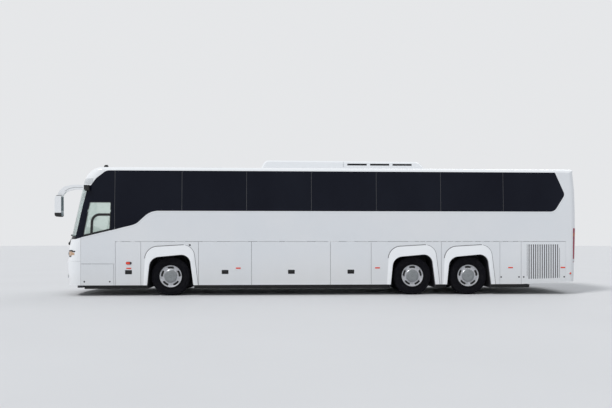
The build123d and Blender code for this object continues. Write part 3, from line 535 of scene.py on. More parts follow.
def bright_metal():
    """Plated reflector or mirror glass."""
    metal = Finish("bright_metal", (0.24, 0.26, 0.30), 0.06, Metallic=1.0)
    film = metal.noise(5.0, 4.0)
    metal.give(Roughness=0.04 + film * 0.05)
    return metal.material


def core_mesh():
    """Dark radiator core behind the air grille."""
    core = Finish("core_mesh", (0.030, 0.027, 0.040), 0.6)
    fins = ((core.along("Z") * 900.0).wave() + (core.along("X") * 700.0).wave()) * 0.5
    core.give(Base_Color=core.mix(core.range(fins, -0.5, 0.5), (0.006, 0.005, 0.012), (0.030, 0.026, 0.048)),
              Roughness=0.5 + fins * 0.1)
    return core.bump(fins, 0.5, 0.002).material


def lit_white(name="lit_white", level=0.90):
    """Gloss white painted brighter than the body white, as painted light for the extra light on the roof,
    nose, mouldings and lips, with road dust low down.
    """
    bright = (level, level * 1.013, level * 1.033)
    paint = Finish(name, bright, 0.3, Coat_Weight=0.5, Coat_Roughness=0.1)
    dust = (1 - paint.range(paint.along("Z"), 0.25, 0.8)) * paint.noise(3.0, 5.0, 0.6)
    paint.give(Base_Color=paint.mix(dust * 0.35, bright, (0.62, 0.61, 0.58)),
               Roughness=0.28 + dust * 0.3)
    return paint.bump(paint.noise(38.0, 2.0), 0.02, 0.0006).material


def screen_glass():
    """Pale green windscreen with a black printed border at its top and foot."""
    green, foot_z, top_z = (0.60, 0.74, 0.70), 1.56, 2.79
    pane = Finish("screen_glass", green, 0.03, Specular_IOR_Level=0.5)
    height = pane.along("Z")
    border = height.below(foot_z).most(height.above(top_z))
    pane.give(Base_Color=pane.mix(border, green, (0.006, 0.006, 0.008)),
              Alpha=0.30 + border * 0.70, Roughness=0.03 + pane.noise(2.0) * 0.03)
    return pane.material


def tail_lens():
    """Tall red lamp with an amber turn section and a clear reversing section."""
    amber_z, clear_z, fine = (1.55, 1.64), (0.870, 0.945), 418.0
    lens = Finish("tail_lens", (0.30, 0.004, 0.030), 0.16, Coat_Weight=0.15)
    height = lens.along("Z")
    amber = height.above(amber_z[0]) * height.below(amber_z[1])
    clear = height.above(clear_z[0]) * height.below(clear_z[1])
    bars = (height * fine).wave()
    red = lens.mix(lens.range(bars, -0.4, 0.8), (0.22, 0.002, 0.030), (0.40, 0.004, 0.055))
    warm = lens.mix(amber, red, (0.42, 0.070, 0.015))
    lens.give(Base_Color=lens.mix(clear, warm, (0.62, 0.63, 0.65)))
    return lens.bump(bars, 0.3, 0.0008).material


WHITE = coach_white()
# The next white is painted light: a brighter copy of the body white for the parts that catch more light.
LIT_WHITE = lit_white()
# Still brighter white for the arch mouldings: painted highlight for the light their flared faces catch.
LIT_FLARE_WHITE = lit_white("lit_flare_white", 0.955)
SCREEN_GLASS = screen_glass()
TAIL_LENS = tail_lens()
SEAM_RUBBER = seam_dark()
DARK_GLASS = dark_glass()
CLEAR_GLASS = clear_glass()
# The driver's pane is paler and more opaque than the other clear glass: painted light for the bright view
# through both windows.
LIT_DRIVER_GLASS = clear_glass("lit_driver_glass", (0.84, 0.99, 0.90), 0.38)
BLACK = black_plastic()
GLOSS_BLACK = black_plastic("gloss_black", 0.10, 0.008)
RUBBER = worn("tyre_rubber", (0.010, 0.010, 0.012), 0.82,
              ((0.0035, 0.0035, 0.0060), (0.0100, 0.0097, 0.0115)),
              (11.0, 5.0, 0.65), (0.35, 0.75), (0.68, 0.25), (160.0,), (0.25, 0.0006),
              Specular_IOR_Level=0.10)
SILVER = worn("wheel_silver", (0.66, 0.67, 0.69), 0.26, ((0.53, 0.54, 0.57), (0.29, 0.29, 0.30)),
              (16.0, 5.0, 0.6), (0.4, 0.75), (0.19, 0.22), (210.0, 2.0), (0.05, 0.0003), Metallic=0.85)
HUB_GREY = worn("hub_grey", (0.33, 0.34, 0.36), 0.42, ((0.20, 0.215, 0.225), (0.36, 0.375, 0.385)),
                (22.0, 5.0, 0.6), None, (0.34, 0.3), (180.0, 2.0), (0.08, 0.0004), Metallic=0.6)
CHASSIS = worn("chassis_black", (0.030, 0.030, 0.032), 0.6, ((0.022, 0.022, 0.024), (0.085, 0.078, 0.068)),
               (7.0, 6.0, 0.62), (0.35, 0.75), (0.5, 0.35), (48.0, 4.0), (0.25, 0.0012))
CASTING = raw_casting()
LINING = cabin_plastic()
FLOOR_COVER = floor_covering()
CLOTH = seat_cloth()
CLEAR_LENS = lamp_glass("clear_lens", (0.72, 0.74, 0.76))
REFLECTOR_RED = lamp_glass("reflector_red", (0.97, 0.050, 0.012))
TURN_LENS = lamp_glass("turn_lens", (0.68, 0.44, 0.28))
MIRROR = bright_metal()
CORE = core_mesh()
GROOVE = black_plastic("groove_grey", 0.6, 0.16)
RIM_DARK = black_plastic("rim_dark", 0.6, 0.012)
MATT_BLACK = black_plastic("matt_black", 0.6, 0.007)
PANE_SEAM = black_plastic("pane_seam", 0.5, 0.085)


# Stage: floor, light and camera

FLOOR_R = 140.0
FLOOR_Z = -0.001                                      # just under the tyres, against flicker


def stage_floor():
    """Pale floor that runs out to the horizon."""
    stone = Finish("stage_floor", (0.80, 0.80, 0.81), 0.85)
    stone.give(Base_Color=stone.mix(stone.noise(0.35, 3.0), (0.66, 0.66, 0.67), (0.70, 0.70, 0.71)))
    stone.bump(stone.noise(9.0), 0.1)
    ring = [(FLOOR_R * math.cos(turn), FLOOR_R * math.sin(turn), FLOOR_Z)
            for turn in (math.radians(5 * i) for i in range(72))]
    mesh = bpy.data.meshes.new("stage_floor")
    mesh.from_pydata(ring, [], [range(len(ring))])
    new_piece("stage_floor", mesh, None, stone.material)


def studio_world():
    """Even pale sky for light, with a near-white backdrop for the camera and for reflections."""
    world = bpy.data.worlds.new("studio")
    bpy.context.scene.world = world
    world.use_nodes = True
    tree = world.node_tree
    tree.nodes.clear()

    def made(kind, *inputs):
        node = tree.nodes.new("ShaderNode" + kind)
        for socket, source in enumerate(inputs):
            tree.links.new(source, node.inputs[socket])
        return node

    def background(colour, strength):
        node = made("Background")
        node.inputs["Color"].default_value = (*colour, 1)
        node.inputs["Strength"].default_value = strength
        return node.outputs[0]

    rays = made("LightPath").outputs
    shown = rays["Is Camera Ray"]
    for kind in ("Is Transmission Ray", "Is Glossy Ray"):
        either = made("Math", shown, rays[kind])
        either.operation = "MAXIMUM"
        shown = either.outputs[0]
    light = background((0.90, 0.95, 1.0), 0.55)
    backdrop = background((0.79, 0.80, 0.815), 1.0)
    made("OutputWorld", made("MixShader", shown, light, backdrop).outputs[0])


def aimed(name, data, direction):
    """Lamp or camera that looks along a direction."""
    holder = bpy.data.objects.new(name, data)
    bpy.context.scene.collection.objects.link(holder)
    holder.rotation_mode = "QUATERNION"
    holder.rotation_quaternion = Vector(direction).to_track_quat("-Z", "Y")
    return holder


def sun(name, direction, strength, spread):
    """Soft far light that shines along a direction."""
    lamp = bpy.data.lights.new(name, "SUN")
    lamp.energy = strength
    lamp.angle = math.radians(spread)
    aimed(name, lamp, direction)


def studio_camera():
    """Level camera across the road from the left side, a little ahead of the middle."""
    lens = bpy.data.cameras.new("camera")
    lens.lens = 32.94
    lens.sensor_width = 36.0
    lens.shift_y = 0.0588
    lens.clip_end = 500.0
    holder = aimed("camera", lens, (-0.04196, -0.99912, 0))
    holder.location = (1.077, 15.939, 1.452)
    bpy.context.scene.camera = holder


stage_floor()
studio_world()
sun("key", (-0.50, -0.36, -0.79), 1.55, 14)
sun("fill", (0.45, 0.45, -0.77), 0.40, 40)
studio_camera()
bpy.context.scene.view_settings.view_transform = "Standard"


# Places on the body

def search_tree(nodes):
    """Search tree over the faces of CAD nodes."""
    vertices = []
    faces = []
    for node in nodes:
        mesh = frame["nodes"][node].data
        first = len(vertices)
        vertices += [v.co.copy() for v in mesh.vertices]
        faces += [[first + i for i in face.vertices] for face in mesh.polygons]
    return BVHTree.FromPolygons(vertices, faces)


DOORS_LEFT = ("service_door_left", "hold_door_left_front", "hold_door_left_middle", "hold_door_left_rear",
              "battery_door_left", "grille_door_left", "low_flap_left")
DOORS_RIGHT = ("service_door_right", "hold_door_right_front", "hold_door_right_middle", "passenger_doors")
OUTSIDE = search_tree(("side_wall_left", "side_wall_right", "side_glazing", "skirt_left", "skirt_right",
                       "front_mask", "front_bumper", "front_dome", "rear_mask", "windscreen", "roof_panel",
                       "door_glazing") + DOORS_LEFT + DOORS_RIGHT)
BELT_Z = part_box("roof_panel")[0].z                    # top of the glass
WAIST_Z = 2.206                                       # where the sides start to lean in
AHEAD = 8.0                                           # where searches start, past the nose or the tail


def lean_y(z, depth=0.0):
    """Half width of the flat sides at one height, some depth under the skin."""
    cant_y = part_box("roof_panel")[1].y
    share = max(0.0, (z - WAIST_Z) / (BELT_Z - WAIST_Z))
    return SKIN_Y - share * (SKIN_Y - cant_y) - depth


def side_y(x, z, side=LEFT):
    """Skin of one flank at a place in side view."""
    hit = OUTSIDE.ray_cast(Vector((x, side * 2.0, z)), Vector((0, -side, 0)), 1.6)[0]
    return hit.y if hit else side * lean_y(z)


def spread(first, last, count):
    """Evenly spaced values from the first to the last."""
    return [first + (last - first) * i / (count - 1) for i in range(count)]


def nose_point(y, z, out=0.0):
    """Place on the skin of the front, moved forward by a distance."""
    hit = OUTSIDE.ray_cast(Vector((AHEAD, y, z)), Vector((-1, 0, 0)), 3.0)[0]
    return Vector((hit.x + out, y, z))


def lid_point(y, z, out=0.0):
    """Place on the skin of the engine lid, moved forward by a distance."""
    hit = LID_TREE.ray_cast(Vector((-AHEAD, y, z)), Vector((1, 0, 0)), 3.0)[0]
    return Vector((hit.x + out, y, z))


def ribbon(path, width, outer, inner, side=LEFT, closed=False):
    """Mesh of a flat strip that follows a path over one flank, between two heights over the skin."""
    points = [Vector(p) for p in path]
    count = len(points)
    rings = []
    for i, point in enumerate(points):
        before = points[i - 1] if i or closed else point
        after = points[(i + 1) % count] if i + 1 < count or closed else point
        way = (after - before).normalized()
        across = Vector((-way.y, way.x)) * width / 2
        ring = []
        for edge, heights in ((across, (inner, outer)), (-across, (outer, inner))):
            x, z = point + edge
            skin = side_y(x, z, side)
            ring += [Vector((x, skin + side * height, z)) for height in heights]
        rings.append(ring)
    return lofted(rings, closed, "ribbon")


def finely(path, step=0.12, closed=False):
    """Path with points added so that none lie farther apart than a step."""
    points = [Vector(p) for p in path]
    if closed:
        points.append(points[0])
    fine = []
    for near, far in zip(points, points[1:]):
        parts = max(1, math.ceil((far - near).length / step))
        fine += [near.lerp(far, i / parts) for i in range(parts)]
    return fine if closed else fine + [points[-1]]


def ring_prism(outer, inner, low, high):
    """Mesh of a flat frame between two outlines with the same number of points, in side view."""
    rings = [[(a, low, b), (a, high, b), (c, high, d), (c, low, d)] for (a, b), (c, d) in zip(outer, inner)]
    return lofted(rings, True, "frame")


# Side fittings, each on the panel or door that carries it

def panel_body(x, z, side):
    """Body of the door at a place in side view, or the coach itself."""
    for node in DOORS_LEFT if side == LEFT else DOORS_RIGHT:
        low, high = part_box(node)
        if low.x <= x <= high.x and low.z <= z <= high.z:
            return body_of(node)
    return "coach"


def door_pull(x, z, side):
    """Recessed black pull in the pocket of a door."""
    skin = side * SKIN_Y
    outer = rounded_outline(rectangle(x - 0.088, x + 0.088, z - 0.053, z + 0.053), 0.012, 4)
    inner = rounded_outline(rectangle(x - 0.079, x + 0.079, z - 0.044, z + 0.044), 0.008, 4)
    back, front = skin - side * 0.0215, skin - side * 0.017
    cup = block(x - 0.0845, x + 0.0845, back, front, z - 0.0495, z + 0.0495, 0.001)
    back, front = skin - side * 0.015, skin - side * 0.003
    paddle = block(x - 0.070, x + 0.070, back, front, z - 0.012, z + 0.040, 0.004)
    pivot = tube([(x + way * 0.074, skin - side * 0.010, z + 0.034) for way in (-1, 1)], 0.005)
    rim = ring_prism(outer, inner, skin - side * 0.004, skin + side * 0.0022)
    return [cup, paddle, pivot, rim]


def round_lock(x, z, side):
    """Small round lock with a square key recess."""
    skin = side_y(x, z, side)
    face = turned([(0.0, 0.0012), (0.0090, 0.0012), (0.0105, 0.0034), (0.0165, 0.0034), (0.0205, 0.0016),
                   (0.0220, -0.002)], (x, skin, z), "y", side, 32)
    half, inner, outer = 0.0045, skin - side * 0.002, skin + side * 0.0034
    return [face, block(x - half, x + half, inner, outer, z - half, z + half, 0.0008)]


def reflector(x, z, side):
    """Flat side reflector."""
    skin = side_y(x, z, side)
    inner, outer = skin - side * 0.003, skin + side * 0.006
    return [block(x - 0.0625, x + 0.0625, inner, outer, z - 0.016, z + 0.016, 0.0035)]


PULLS = ((5.061, 0.618), (2.573, 0.618), (0.844, 0.618), (-0.721, 0.618))
LOCKS = ((6.189, 0.374), (5.541, 0.374), (-4.741, 0.467), (-5.225, 0.467), (-5.353, 0.467), (-6.454, 0.467))
REFLECTORS = ((5.056, 0.717), (2.231, 0.717), (-1.427, 0.717), (-4.995, 0.717), (-6.418, 0.717))


def side_fittings(side, name):
    """Pulls, locks and reflectors of one flank, joined by the body that carries them."""
    groups = {}
    for kind, places, make, finish in (("pulls", PULLS, door_pull, MATT_BLACK),
                                       ("locks", LOCKS, round_lock, MATT_BLACK),
                                       ("reflectors", REFLECTORS, reflector, REFLECTOR_RED)):
        for x, z in places:
            body = panel_body(x, z, side)
            if side == RIGHT and (kind == "pulls" and body == "coach" or 5.4 < x < 6.3):
                continue
            groups.setdefault((kind, body, finish), []).extend(make(x, z, side))
    for (kind, body, finish), meshes in groups.items():
        joined(f"{kind}_{name}_{body}", meshes, body, finish)


def side_lamp(side, name):
    """Red side lamp with a black rear end on the service door."""
    x, z = 5.056, 0.852
    skin = side * SKIN_Y
    body = body_of("service_door_" + name)

    def part(x0, x1, half, radii, outer, edge):
        corners = (x + x0, x + x1, z - half, z + half)
        return plate(corners, radii, skin - side * 0.002, skin + side * outer, edge)

    lens = part(-0.030, 0.068, 0.030, [0.004, 0.026, 0.026, 0.004], 0.016, 0.005)
    end = part(-0.068, -0.032, 0.030, [0.024, 0.004, 0.004, 0.024], 0.014, 0.004)
    base = part(-0.073, 0.073, 0.035, 0.028, 0.004, 0.001)
    new_piece("side_lamp_lens_" + name, lens, body, REFLECTOR_RED)
    joined("side_lamp_base_" + name, [end, base], body, BLACK)


def small_marks(side, name):
    """Round socket on the front arch panel and a small lamp low on the rear corner."""
    for piece, x, z, segments, finish, section in (
            ("air_socket_", 3.486, 1.320, 32, GLOSS_BLACK,
             [(0.0, 0.003), (0.013, 0.0035), (0.017, 0.005), (0.023, 0.004), (0.025, -0.002)]),
            ("corner_lamp_rim_", -6.62, 0.56, 40, CLEAR_LENS,
             [(0.026, 0.012), (0.034, 0.012), (0.040, 0.006), (0.041, -0.006)]),
            ("corner_lamp_", -6.62, 0.56, 40, REFLECTOR_RED,
             [(0.0, 0.015), (0.015, 0.014), (0.026, 0.010), (0.027, -0.004)])):
        mesh = turned(section, (x, side_y(x, z, side), z), "y", side, segments)
        new_piece(piece + name, mesh, "coach", finish)


for side, name in SIDES:
    side_fittings(side, name)
    side_lamp(side, name)
    small_marks(side, name)


# Window band

BAND_CORNERS = [(-6.190, WAIST_Z), (4.496, WAIST_Z), (4.876, 1.856), (6.440, 1.4744), (6.240, 2.354),
                (6.110, 2.865), (6.035, 2.865), (5.905, 3.050), (5.640, BELT_Z), (-6.222, BELT_Z),
                (-6.484, 2.662)]
BAND_RADII = [0.210, 0.510, 0.430, 0, 0.300, 0, 0.060, 0.250, 0.220, 0.025, 0.150]
BAND = rounded_outline(BAND_CORNERS, BAND_RADII, 12)
PANE_SEAMS = (5.416, 3.692, 2.015, 0.319, -1.398, -3.117, -4.803)
WINDOW = rounded_outline([(5.503, 2.440), (5.530, 1.732), (6.222, 1.567), (6.058, 2.440)],
                         [0.035, 0.03, 0.03, 0.045])
SLIDER = rounded_outline([(5.515, 2.110), (5.988, 2.110), (6.004, 1.632)], [0, 0.20, 0], 10)


def grown(outline, amount):
    """Outline moved outwards by an amount."""
    count = len(outline)
    area = sum(outline[i][0] * outline[(i + 1) % count][1] - outline[(i + 1) % count][0] * outline[i][1]
               for i in range(count))
    turn = 1 if area > 0 else -1
    moved = []
    for i in range(count):
        way = Vector(outline[(i + 1) % count]) - Vector(outline[i - 1])
        if way.length < 1e-6:
            way = Vector((1, 0))
        way.normalize()
        moved.append(Vector(outline[i]) + turn * amount * Vector((way.y, -way.x)))
    return moved


def pane_strips(side):
    """Dark sealing strips in the seams between the panes."""
    strips = []
    for x in PANE_SEAMS:
        low = 1.79 if x > 5 else WAIST_Z
        line = [(side * lean_y(z, depth), z) for depth in (0.0098, 0.0012) for z in (low, WAIST_Z, BELT_Z)]
        outline = [line[0], line[1], line[2], line[5], line[4], line[3]]
        strips.append(prism(outline if low < WAIST_Z else [line[1], line[2], line[5], line[4]],
                            x - 0.0039, x + 0.0039, "x"))
    return strips


def band_highlight_lip(side):
    """Lip that turns out along the lower edge of the band, in the brighter white: a painted highlight for the
    light on the belt's rounded edge.
    """
    edge = grown(BAND, 0.007)
    rear = [p for p in edge[len(edge) // 2:] if p[1] < 2.65]
    front = [p for p in edge[:len(edge) // 2] if p[0] < 5.3]
    path = finely(rear + front + [Vector((6.27, 1.509))], 0.25)
    return ribbon(path, 0.018, 0.0050, -0.004, side)


for side, name in SIDES:
    joined("pane_strips_" + name, pane_strips(side), "coach", PANE_SEAM)
new_piece("band_lip_left", band_highlight_lip(LEFT), "coach", LIT_WHITE)


def driver_window():
    """Clear front pane of the left side with the frame of its sliding part."""
    near = prism(WINDOW, SKIN_Y - 0.30, SKIN_Y + 0.20, "y")
    dressed("side_glazing", DARK_GLASS, "band_glass", [near])
    chunk("driver_pane", "side_glazing", near.copy(), LIT_DRIVER_GLASS)
    edge = ribbon(finely(grown(WINDOW, -0.009), 0.15, True), 0.020, 0.0008, -0.012, LEFT, True)
    slider = ribbon(finely(SLIDER, 0.10), 0.064, 0.0030, -0.014, LEFT)
    sill = ribbon(finely([(5.55, 1.716), (6.205, 1.565)], 0.1), 0.034, 0.0034, -0.012, LEFT)
    joined("driver_window_frame", [edge, slider, sill], "coach", MATT_BLACK)


driver_window()


# Wheel arches: the same lines as the solids, from the hub

HUB_Z = TYRE_R
PLACES = ("front", "drive", "tag")
SKIRT_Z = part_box("hold_door_left_front")[0].z
OPENING = (0.593, -0.600, (0.521, 0.491), (-0.493, 0.583))
OPENING_RADII = (0.270, 0.240)
MOULDING = (0.693, -0.718, (0.635, 0.761), (-0.589, 0.833))
MOULDING_RADII = (0.330, 0.300)


def hub_of(place, name):
    """Middle of one wheel's hub along the coach."""
    low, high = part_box(f"tyre_{place}_{name}")
    return (low.x + high.x) / 2


def arch_line(hub_x, arch, radii, grow=0.0, low_z=SKIRT_Z):
    """Outline of an arch drawn outwards by an amount, from its rear foot round to its front foot."""
    front_foot, rear_foot, front, rear = arch
    feet = []
    for way, foot, shoulder in ((-1, rear_foot, rear), (1, front_foot, front)):
        lean = (foot - shoulder[0]) / (shoulder[1] + HUB_Z - SKIRT_Z)
        feet.append((hub_x + foot + way * grow + lean * (SKIRT_Z - low_z), low_z))
    corners = [feet[0], (hub_x + rear[0] - grow, HUB_Z + rear[1] + grow),
               (hub_x + front[0] + grow, HUB_Z + front[1] + grow), feet[1]]
    return rounded_outline(corners, [0, radii[1] + grow, radii[0] + grow, 0], 12)


def arch_moulding(name, side, line, lift):
    """Outer face of the skirt inside a line, lifted off as a mesh of its own."""
    piece = new_piece("moulding", smooth(solid_of("skirt_" + name)), None)
    boolean(piece, prism(line, side * (SKIN_Y - 0.0005), side * (SKIN_Y + 0.05), "y"), "INTERSECT")
    mesh = piece.data
    mesh.transform(Matrix.Translation((0, side * lift, 0)))
    bpy.data.objects.remove(piece)
    return mesh


def dressed_skirt(side, name):
    """Lower side panels with their arch mouldings and lips in a brighter white as painted light, rolled inner
    edges, and grey strips of painted shadow along the mouldings' outer step.
    """
    dressed("skirt_" + name, WHITE)
    foot = SKIRT_Z - 0.02
    lit_lips, lit_flares, grooves, rolls = [], [], [], []
    for place in PLACES:
        hub_x = hub_of(place, name)
        # The moulding faces and the lips round the openings get the brighter white: painted highlight for the
        # light they catch.
        lit_lips.append(arch_moulding(name, side, arch_line(hub_x, OPENING, OPENING_RADII, 0.068, foot), 0.0030))
        line = arch_line(hub_x, MOULDING, MOULDING_RADII, -0.006, foot)
        lit_flares.append(arch_moulding(name, side, line, 0.0012))
        # Grey strips along the moulding's outer line are painted shadow under its step: wide over the front
        # leg and the top, thin on the rear leg.
        line = arch_line(hub_x, MOULDING, MOULDING_RADII, 0.005)
        strong = [p for p in line if p[0] > hub_x - 0.37 and p[1] > 0.80]
        faint = [p for p in line if p[0] < hub_x - 0.36]
        for part, width in ((strong, 0.021), (faint, 0.009)):
            grooves.append(ribbon(finely(part, 0.05), width, 0.0012, -0.004, side))
        line = arch_line(hub_x, OPENING, OPENING_RADII, -0.004, SKIRT_Z + 0.004)
        rolls.append(tube([(x, side * (SKIN_Y - 0.020), z) for x, z in line], 0.006, 8))
    for piece, meshes, finish in (("arch_lit_mouldings_", lit_lips, LIT_FLARE_WHITE),
                                  ("arch_flares_", lit_flares, LIT_FLARE_WHITE),
                                  ("arch_shadow_lines_", grooves, GROOVE),
                                  ("arch_seals_", rolls, SEAM_RUBBER)):
        joined(piece + name, meshes, "coach", finish)


def arch_liner(side, name):
    """Dark flaps that carry the linings down to the foot of each arch, fore and aft of the wheel."""
    flaps = []
    for place in PLACES:
        hub_x = hub_of(place, name)
        front_x, rear_x = hub_x + 0.600, hub_x - 0.608
        for x0, x1 in ((rear_x - 0.010, rear_x), (front_x, front_x + 0.010)):
            flaps.append(block(x0, x1, side * 0.585, side * 1.205, 0.180, 0.42, 0.003))
        flaps.append(block(rear_x, front_x, side * 0.545, side * 0.556, 0.190, 0.95, 0.003))
    joined("arch_flaps_" + name, flaps, "coach", SEAM_RUBBER)


for side, name in SIDES:
    dressed_skirt(side, name)
    arch_liner(side, name)


# Wheels, drawn about the origin with the outside towards +Y

TREAD = [(0.2835, 0.098), (0.290, 0.106), (0.300, 0.107), (0.312, 0.112), (0.316, 0.1145), (0.322, 0.1145),
         (0.345, 0.1225), (0.380, 0.1285), (0.400, 0.1295), (0.404, 0.1308), (0.412, 0.1308), (0.416, 0.1290),
         (0.440, 0.1265), (0.462, 0.1225), (0.466, 0.1235), (0.474, 0.1225), (0.478, 0.1200)]
SHOULDER = [(0.488, 0.1170), (0.498, 0.1125), (0.5040, 0.1050)]
RIBS = (0.078, 0.046, 0.0155)
GROOVE_D, GROOVE_W = 0.011, 0.0055
NOTCH_D, NOTCH_EVERY = 0.0085, 5
STEPS = 180


def tyre_mesh():
    """Tyre with sidewall rings, tread grooves and notched shoulders."""
    half = list(TREAD) + list(SHOULDER)
    for along in RIBS:
        half += [(TYRE_R, along + GROOVE_W), (TYRE_R - GROOVE_D, along + GROOVE_W * 0.6),
                 (TYRE_R - GROOVE_D, along - GROOVE_W * 0.6), (TYRE_R, along - GROOVE_W)]
    section = half + [(r, -along) for r, along in half[::-1]]
    rings = []
    for step in range(STEPS):
        turn = 2 * math.pi * step / STEPS
        ring = []
        for r, along in section:
            if step % NOTCH_EVERY == 0 and r >= SHOULDER[0][0] and abs(along) > RIBS[0] + GROOVE_W:
                r -= NOTCH_D
            ring.append((r * math.cos(turn), along, r * math.sin(turn)))
        rings.append(ring)
    return lofted(rings, True, "tyre", 30)


TRIM = [(0.164, 0.128), (0.170, 0.1195), (0.180, 0.1165), (0.191, 0.1150), (0.202, 0.1145),
        (0.209, 0.1145), (0.2505, 0.1165), (0.257, 0.1180), (0.264, 0.1210), (0.272, 0.1245),
        (0.279, 0.1280), (0.2845, 0.1290), (0.288, 0.1260), (0.2875, 0.1120), (0.282, 0.1040)]
CAP = [(0.0, 0.1520), (0.018, 0.1520), (0.022, 0.1500), (0.048, 0.1498), (0.052, 0.1515), (0.060, 0.1515),
       (0.064, 0.1470), (0.088, 0.1462), (0.092, 0.1480), (0.104, 0.1480), (0.109, 0.1430), (0.118, 0.1415),
       (0.124, 0.1425), (0.146, 0.1415), (0.152, 0.1390), (0.158, 0.1350), (0.1645, 0.1285)]
SLOTS = 5
SLOT_HALF_TURN, SLOT_ROUND = 20.0, 3.0                # degrees, and how much shorter a slot's edges are
NUTS = 10
NUT_RING, NUT_R = 0.1345, 0.0105
RIM_REACH = 0.150                                     # outer edge of a rim past the middle of its tyre
TWIN_PITCH = 0.336


def trim_mesh():
    """Dished wheel trim with five long slots near its edge."""
    shape = bmesh.new()
    shape.from_mesh(turned(TRIM, segments=STEPS, angle=40))
    pitch = 360 / SLOTS
    gone = []
    for face in shape.faces:
        middle = face.calc_center_median()
        radius = math.hypot(middle.x, middle.z)
        turn = (math.degrees(math.atan2(middle.z, middle.x)) - 90) % pitch
        off = min(turn, pitch - turn)
        reach = SLOT_HALF_TURN - (SLOT_ROUND if radius < 0.2090 or radius > 0.2505 else 0)
        if 0.2025 < radius < 0.2565 and off < reach and middle.y > 0.105:
            gone.append(face)
    bmesh.ops.delete(shape, geom=gone, context="FACES")
    edges = []
    for edge in shape.edges:
        middle = (edge.verts[0].co + edge.verts[1].co) / 2
        if edge.is_boundary and 0.198 < math.hypot(middle.x, middle.z) < 0.262 and middle.y > 0.106:
            edges.append(edge)
    for item in bmesh.ops.extrude_edge_only(shape, edges=edges)["geom"]:
        if isinstance(item, bmesh.types.BMVert):
            item.co.y -= 0.018
    return from_bmesh(shape, "trim", 40)


def nut_meshes():
    """Ten hexagonal nut heads on the hub cover."""
    nuts = []
    for i in range(NUTS):
        turn = math.radians(360 / NUTS * i)
        x, z = NUT_RING * math.cos(turn), NUT_RING * math.sin(turn)
        line = [(x + NUT_R * math.cos(math.radians(60 * k)), z + NUT_R * math.sin(math.radians(60 * k)))
                for k in range(6)]
        nuts.append(prism(line, 0.139, 0.1485, "y", 0.001))
    return nuts


def dressed_wheels():
    """Tyres and wheel trims on all six hubs."""
    tyre, trim = tyre_mesh(), trim_mesh()
    cover = [turned(CAP, angle=25)] + nut_meshes()
    wheel_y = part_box("rim_front_left")[1].y - RIM_REACH
    for place in PLACES:
        for side, name in SIDES:
            spot = (Matrix.Translation((hub_of(place, name), side * wheel_y, HUB_Z))
                    @ Matrix.Diagonal((1, side, 1, 1)))
            wheel = f"{place}_{name}"
            body = "wheel_" + wheel
            rings = [placed(tyre, spot)]
            if place == "drive":
                rings.append(placed(tyre, spot @ Matrix.Translation((0, -TWIN_PITCH, 0))))
            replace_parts(joined("tyre_rubber_" + wheel, rings, body, RUBBER), "tyre_" + wheel)
            dressed("rim_" + wheel, RIM_DARK, "rim_steel_" + wheel)
            new_piece("wheel_trim_" + wheel, placed(trim, spot), body, SILVER)
            joined("hub_cover_" + wheel, [placed(m, spot) for m in cover], body, HUB_GREY)


dressed_wheels()


# Front end

def side_chunk(name, node, side, limits, finish, proud=0.0, edge=0):
    """Piece cut out of a node's form by a box, given by its X, Y and Z limits on the left side."""
    x0, x1, y0, y1, z0, z1 = limits
    inner, outer = sorted((side * y0, side * y1))
    return chunk(name, node, block(x0, x1, inner, outer, z0, z1, edge), finish, proud)


def nose_lamps(side, name):
    """Headlamp cluster: dark slit with two lenses behind it and an amber turn lamp at its outer end."""
    bezel = side_chunk("lamp_bezel_" + name, "headlamps", side, (6.3, 7.1, 0.60, 1.30, 1.0, 1.2), GLOSS_BLACK,
                       0.001)
    if side == LEFT:
        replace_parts(bezel, "headlamps")
    for piece, node, limits, finish, proud in (
            ("turn_lamp_", "headlamps", (6.3, 7.1, 1.08, 1.30, 1.045, 1.150), TURN_LENS, 0.004),
            ("lamp_slit_", "front_mask", (6.425, 6.60, 1.10, 1.30, 1.140, 1.172), MATT_BLACK, 0.0015),
            ("lamp_tail_", "front_mask", (6.450, 6.56, 1.10, 1.30, 1.060, 1.128), TURN_LENS, 0.0015)):
        side_chunk(piece + name, node, side, limits, finish, proud)
    lenses = []
    for y, r in ((0.735, 0.055), (0.875, 0.055), (0.998, 0.042)):
        section = [(0.0, 0.020), (r * 0.5, 0.017), (r * 0.8, 0.010), (r, 0.000), (r + 0.004, 0.004),
                   (r + 0.009, 0.002), (r + 0.010, -0.010)]
        lenses.append(turned(section, nose_point(side * y, 1.10, 0.001), "x", 1, 40))
    joined("lamp_lenses_" + name, lenses, "coach", CLEAR_LENS)
    section = [(0.0, 0.012), (0.030, 0.010), (0.046, 0.002), (0.050, 0.006), (0.060, 0.004), (0.062, -0.012)]
    fog = turned(section, nose_point(side * 0.98, 0.52, -0.004), "x", 1, 40)
    new_piece("fog_lamp_" + name, fog, "coach", CLEAR_LENS)


def front_grille():
    """Black air intake with cross bars between the bumper and the mask."""
    side_chunk("air_intake", "front_bumper", LEFT, (6.5, 7.1, -0.74, 0.74, 0.615, 0.790), MATT_BLACK, 0.0015)
    # Black strip along the foot of the bumper: painted shade under the nose's lower edge.
    side_chunk("bumper_shade_strip", "front_bumper", LEFT, (6.4, 7.1, -0.98, 0.98, 0.27, 0.335), MATT_BLACK, 0.0015)
    bars = []
    for z in (0.665, 0.705, 0.745):
        bars.append(tube([nose_point(y, z, 0.004) for y in spread(-0.73, 0.73, 25)], 0.007, 8))
    joined("intake_bars", bars, "coach", GLOSS_BLACK)


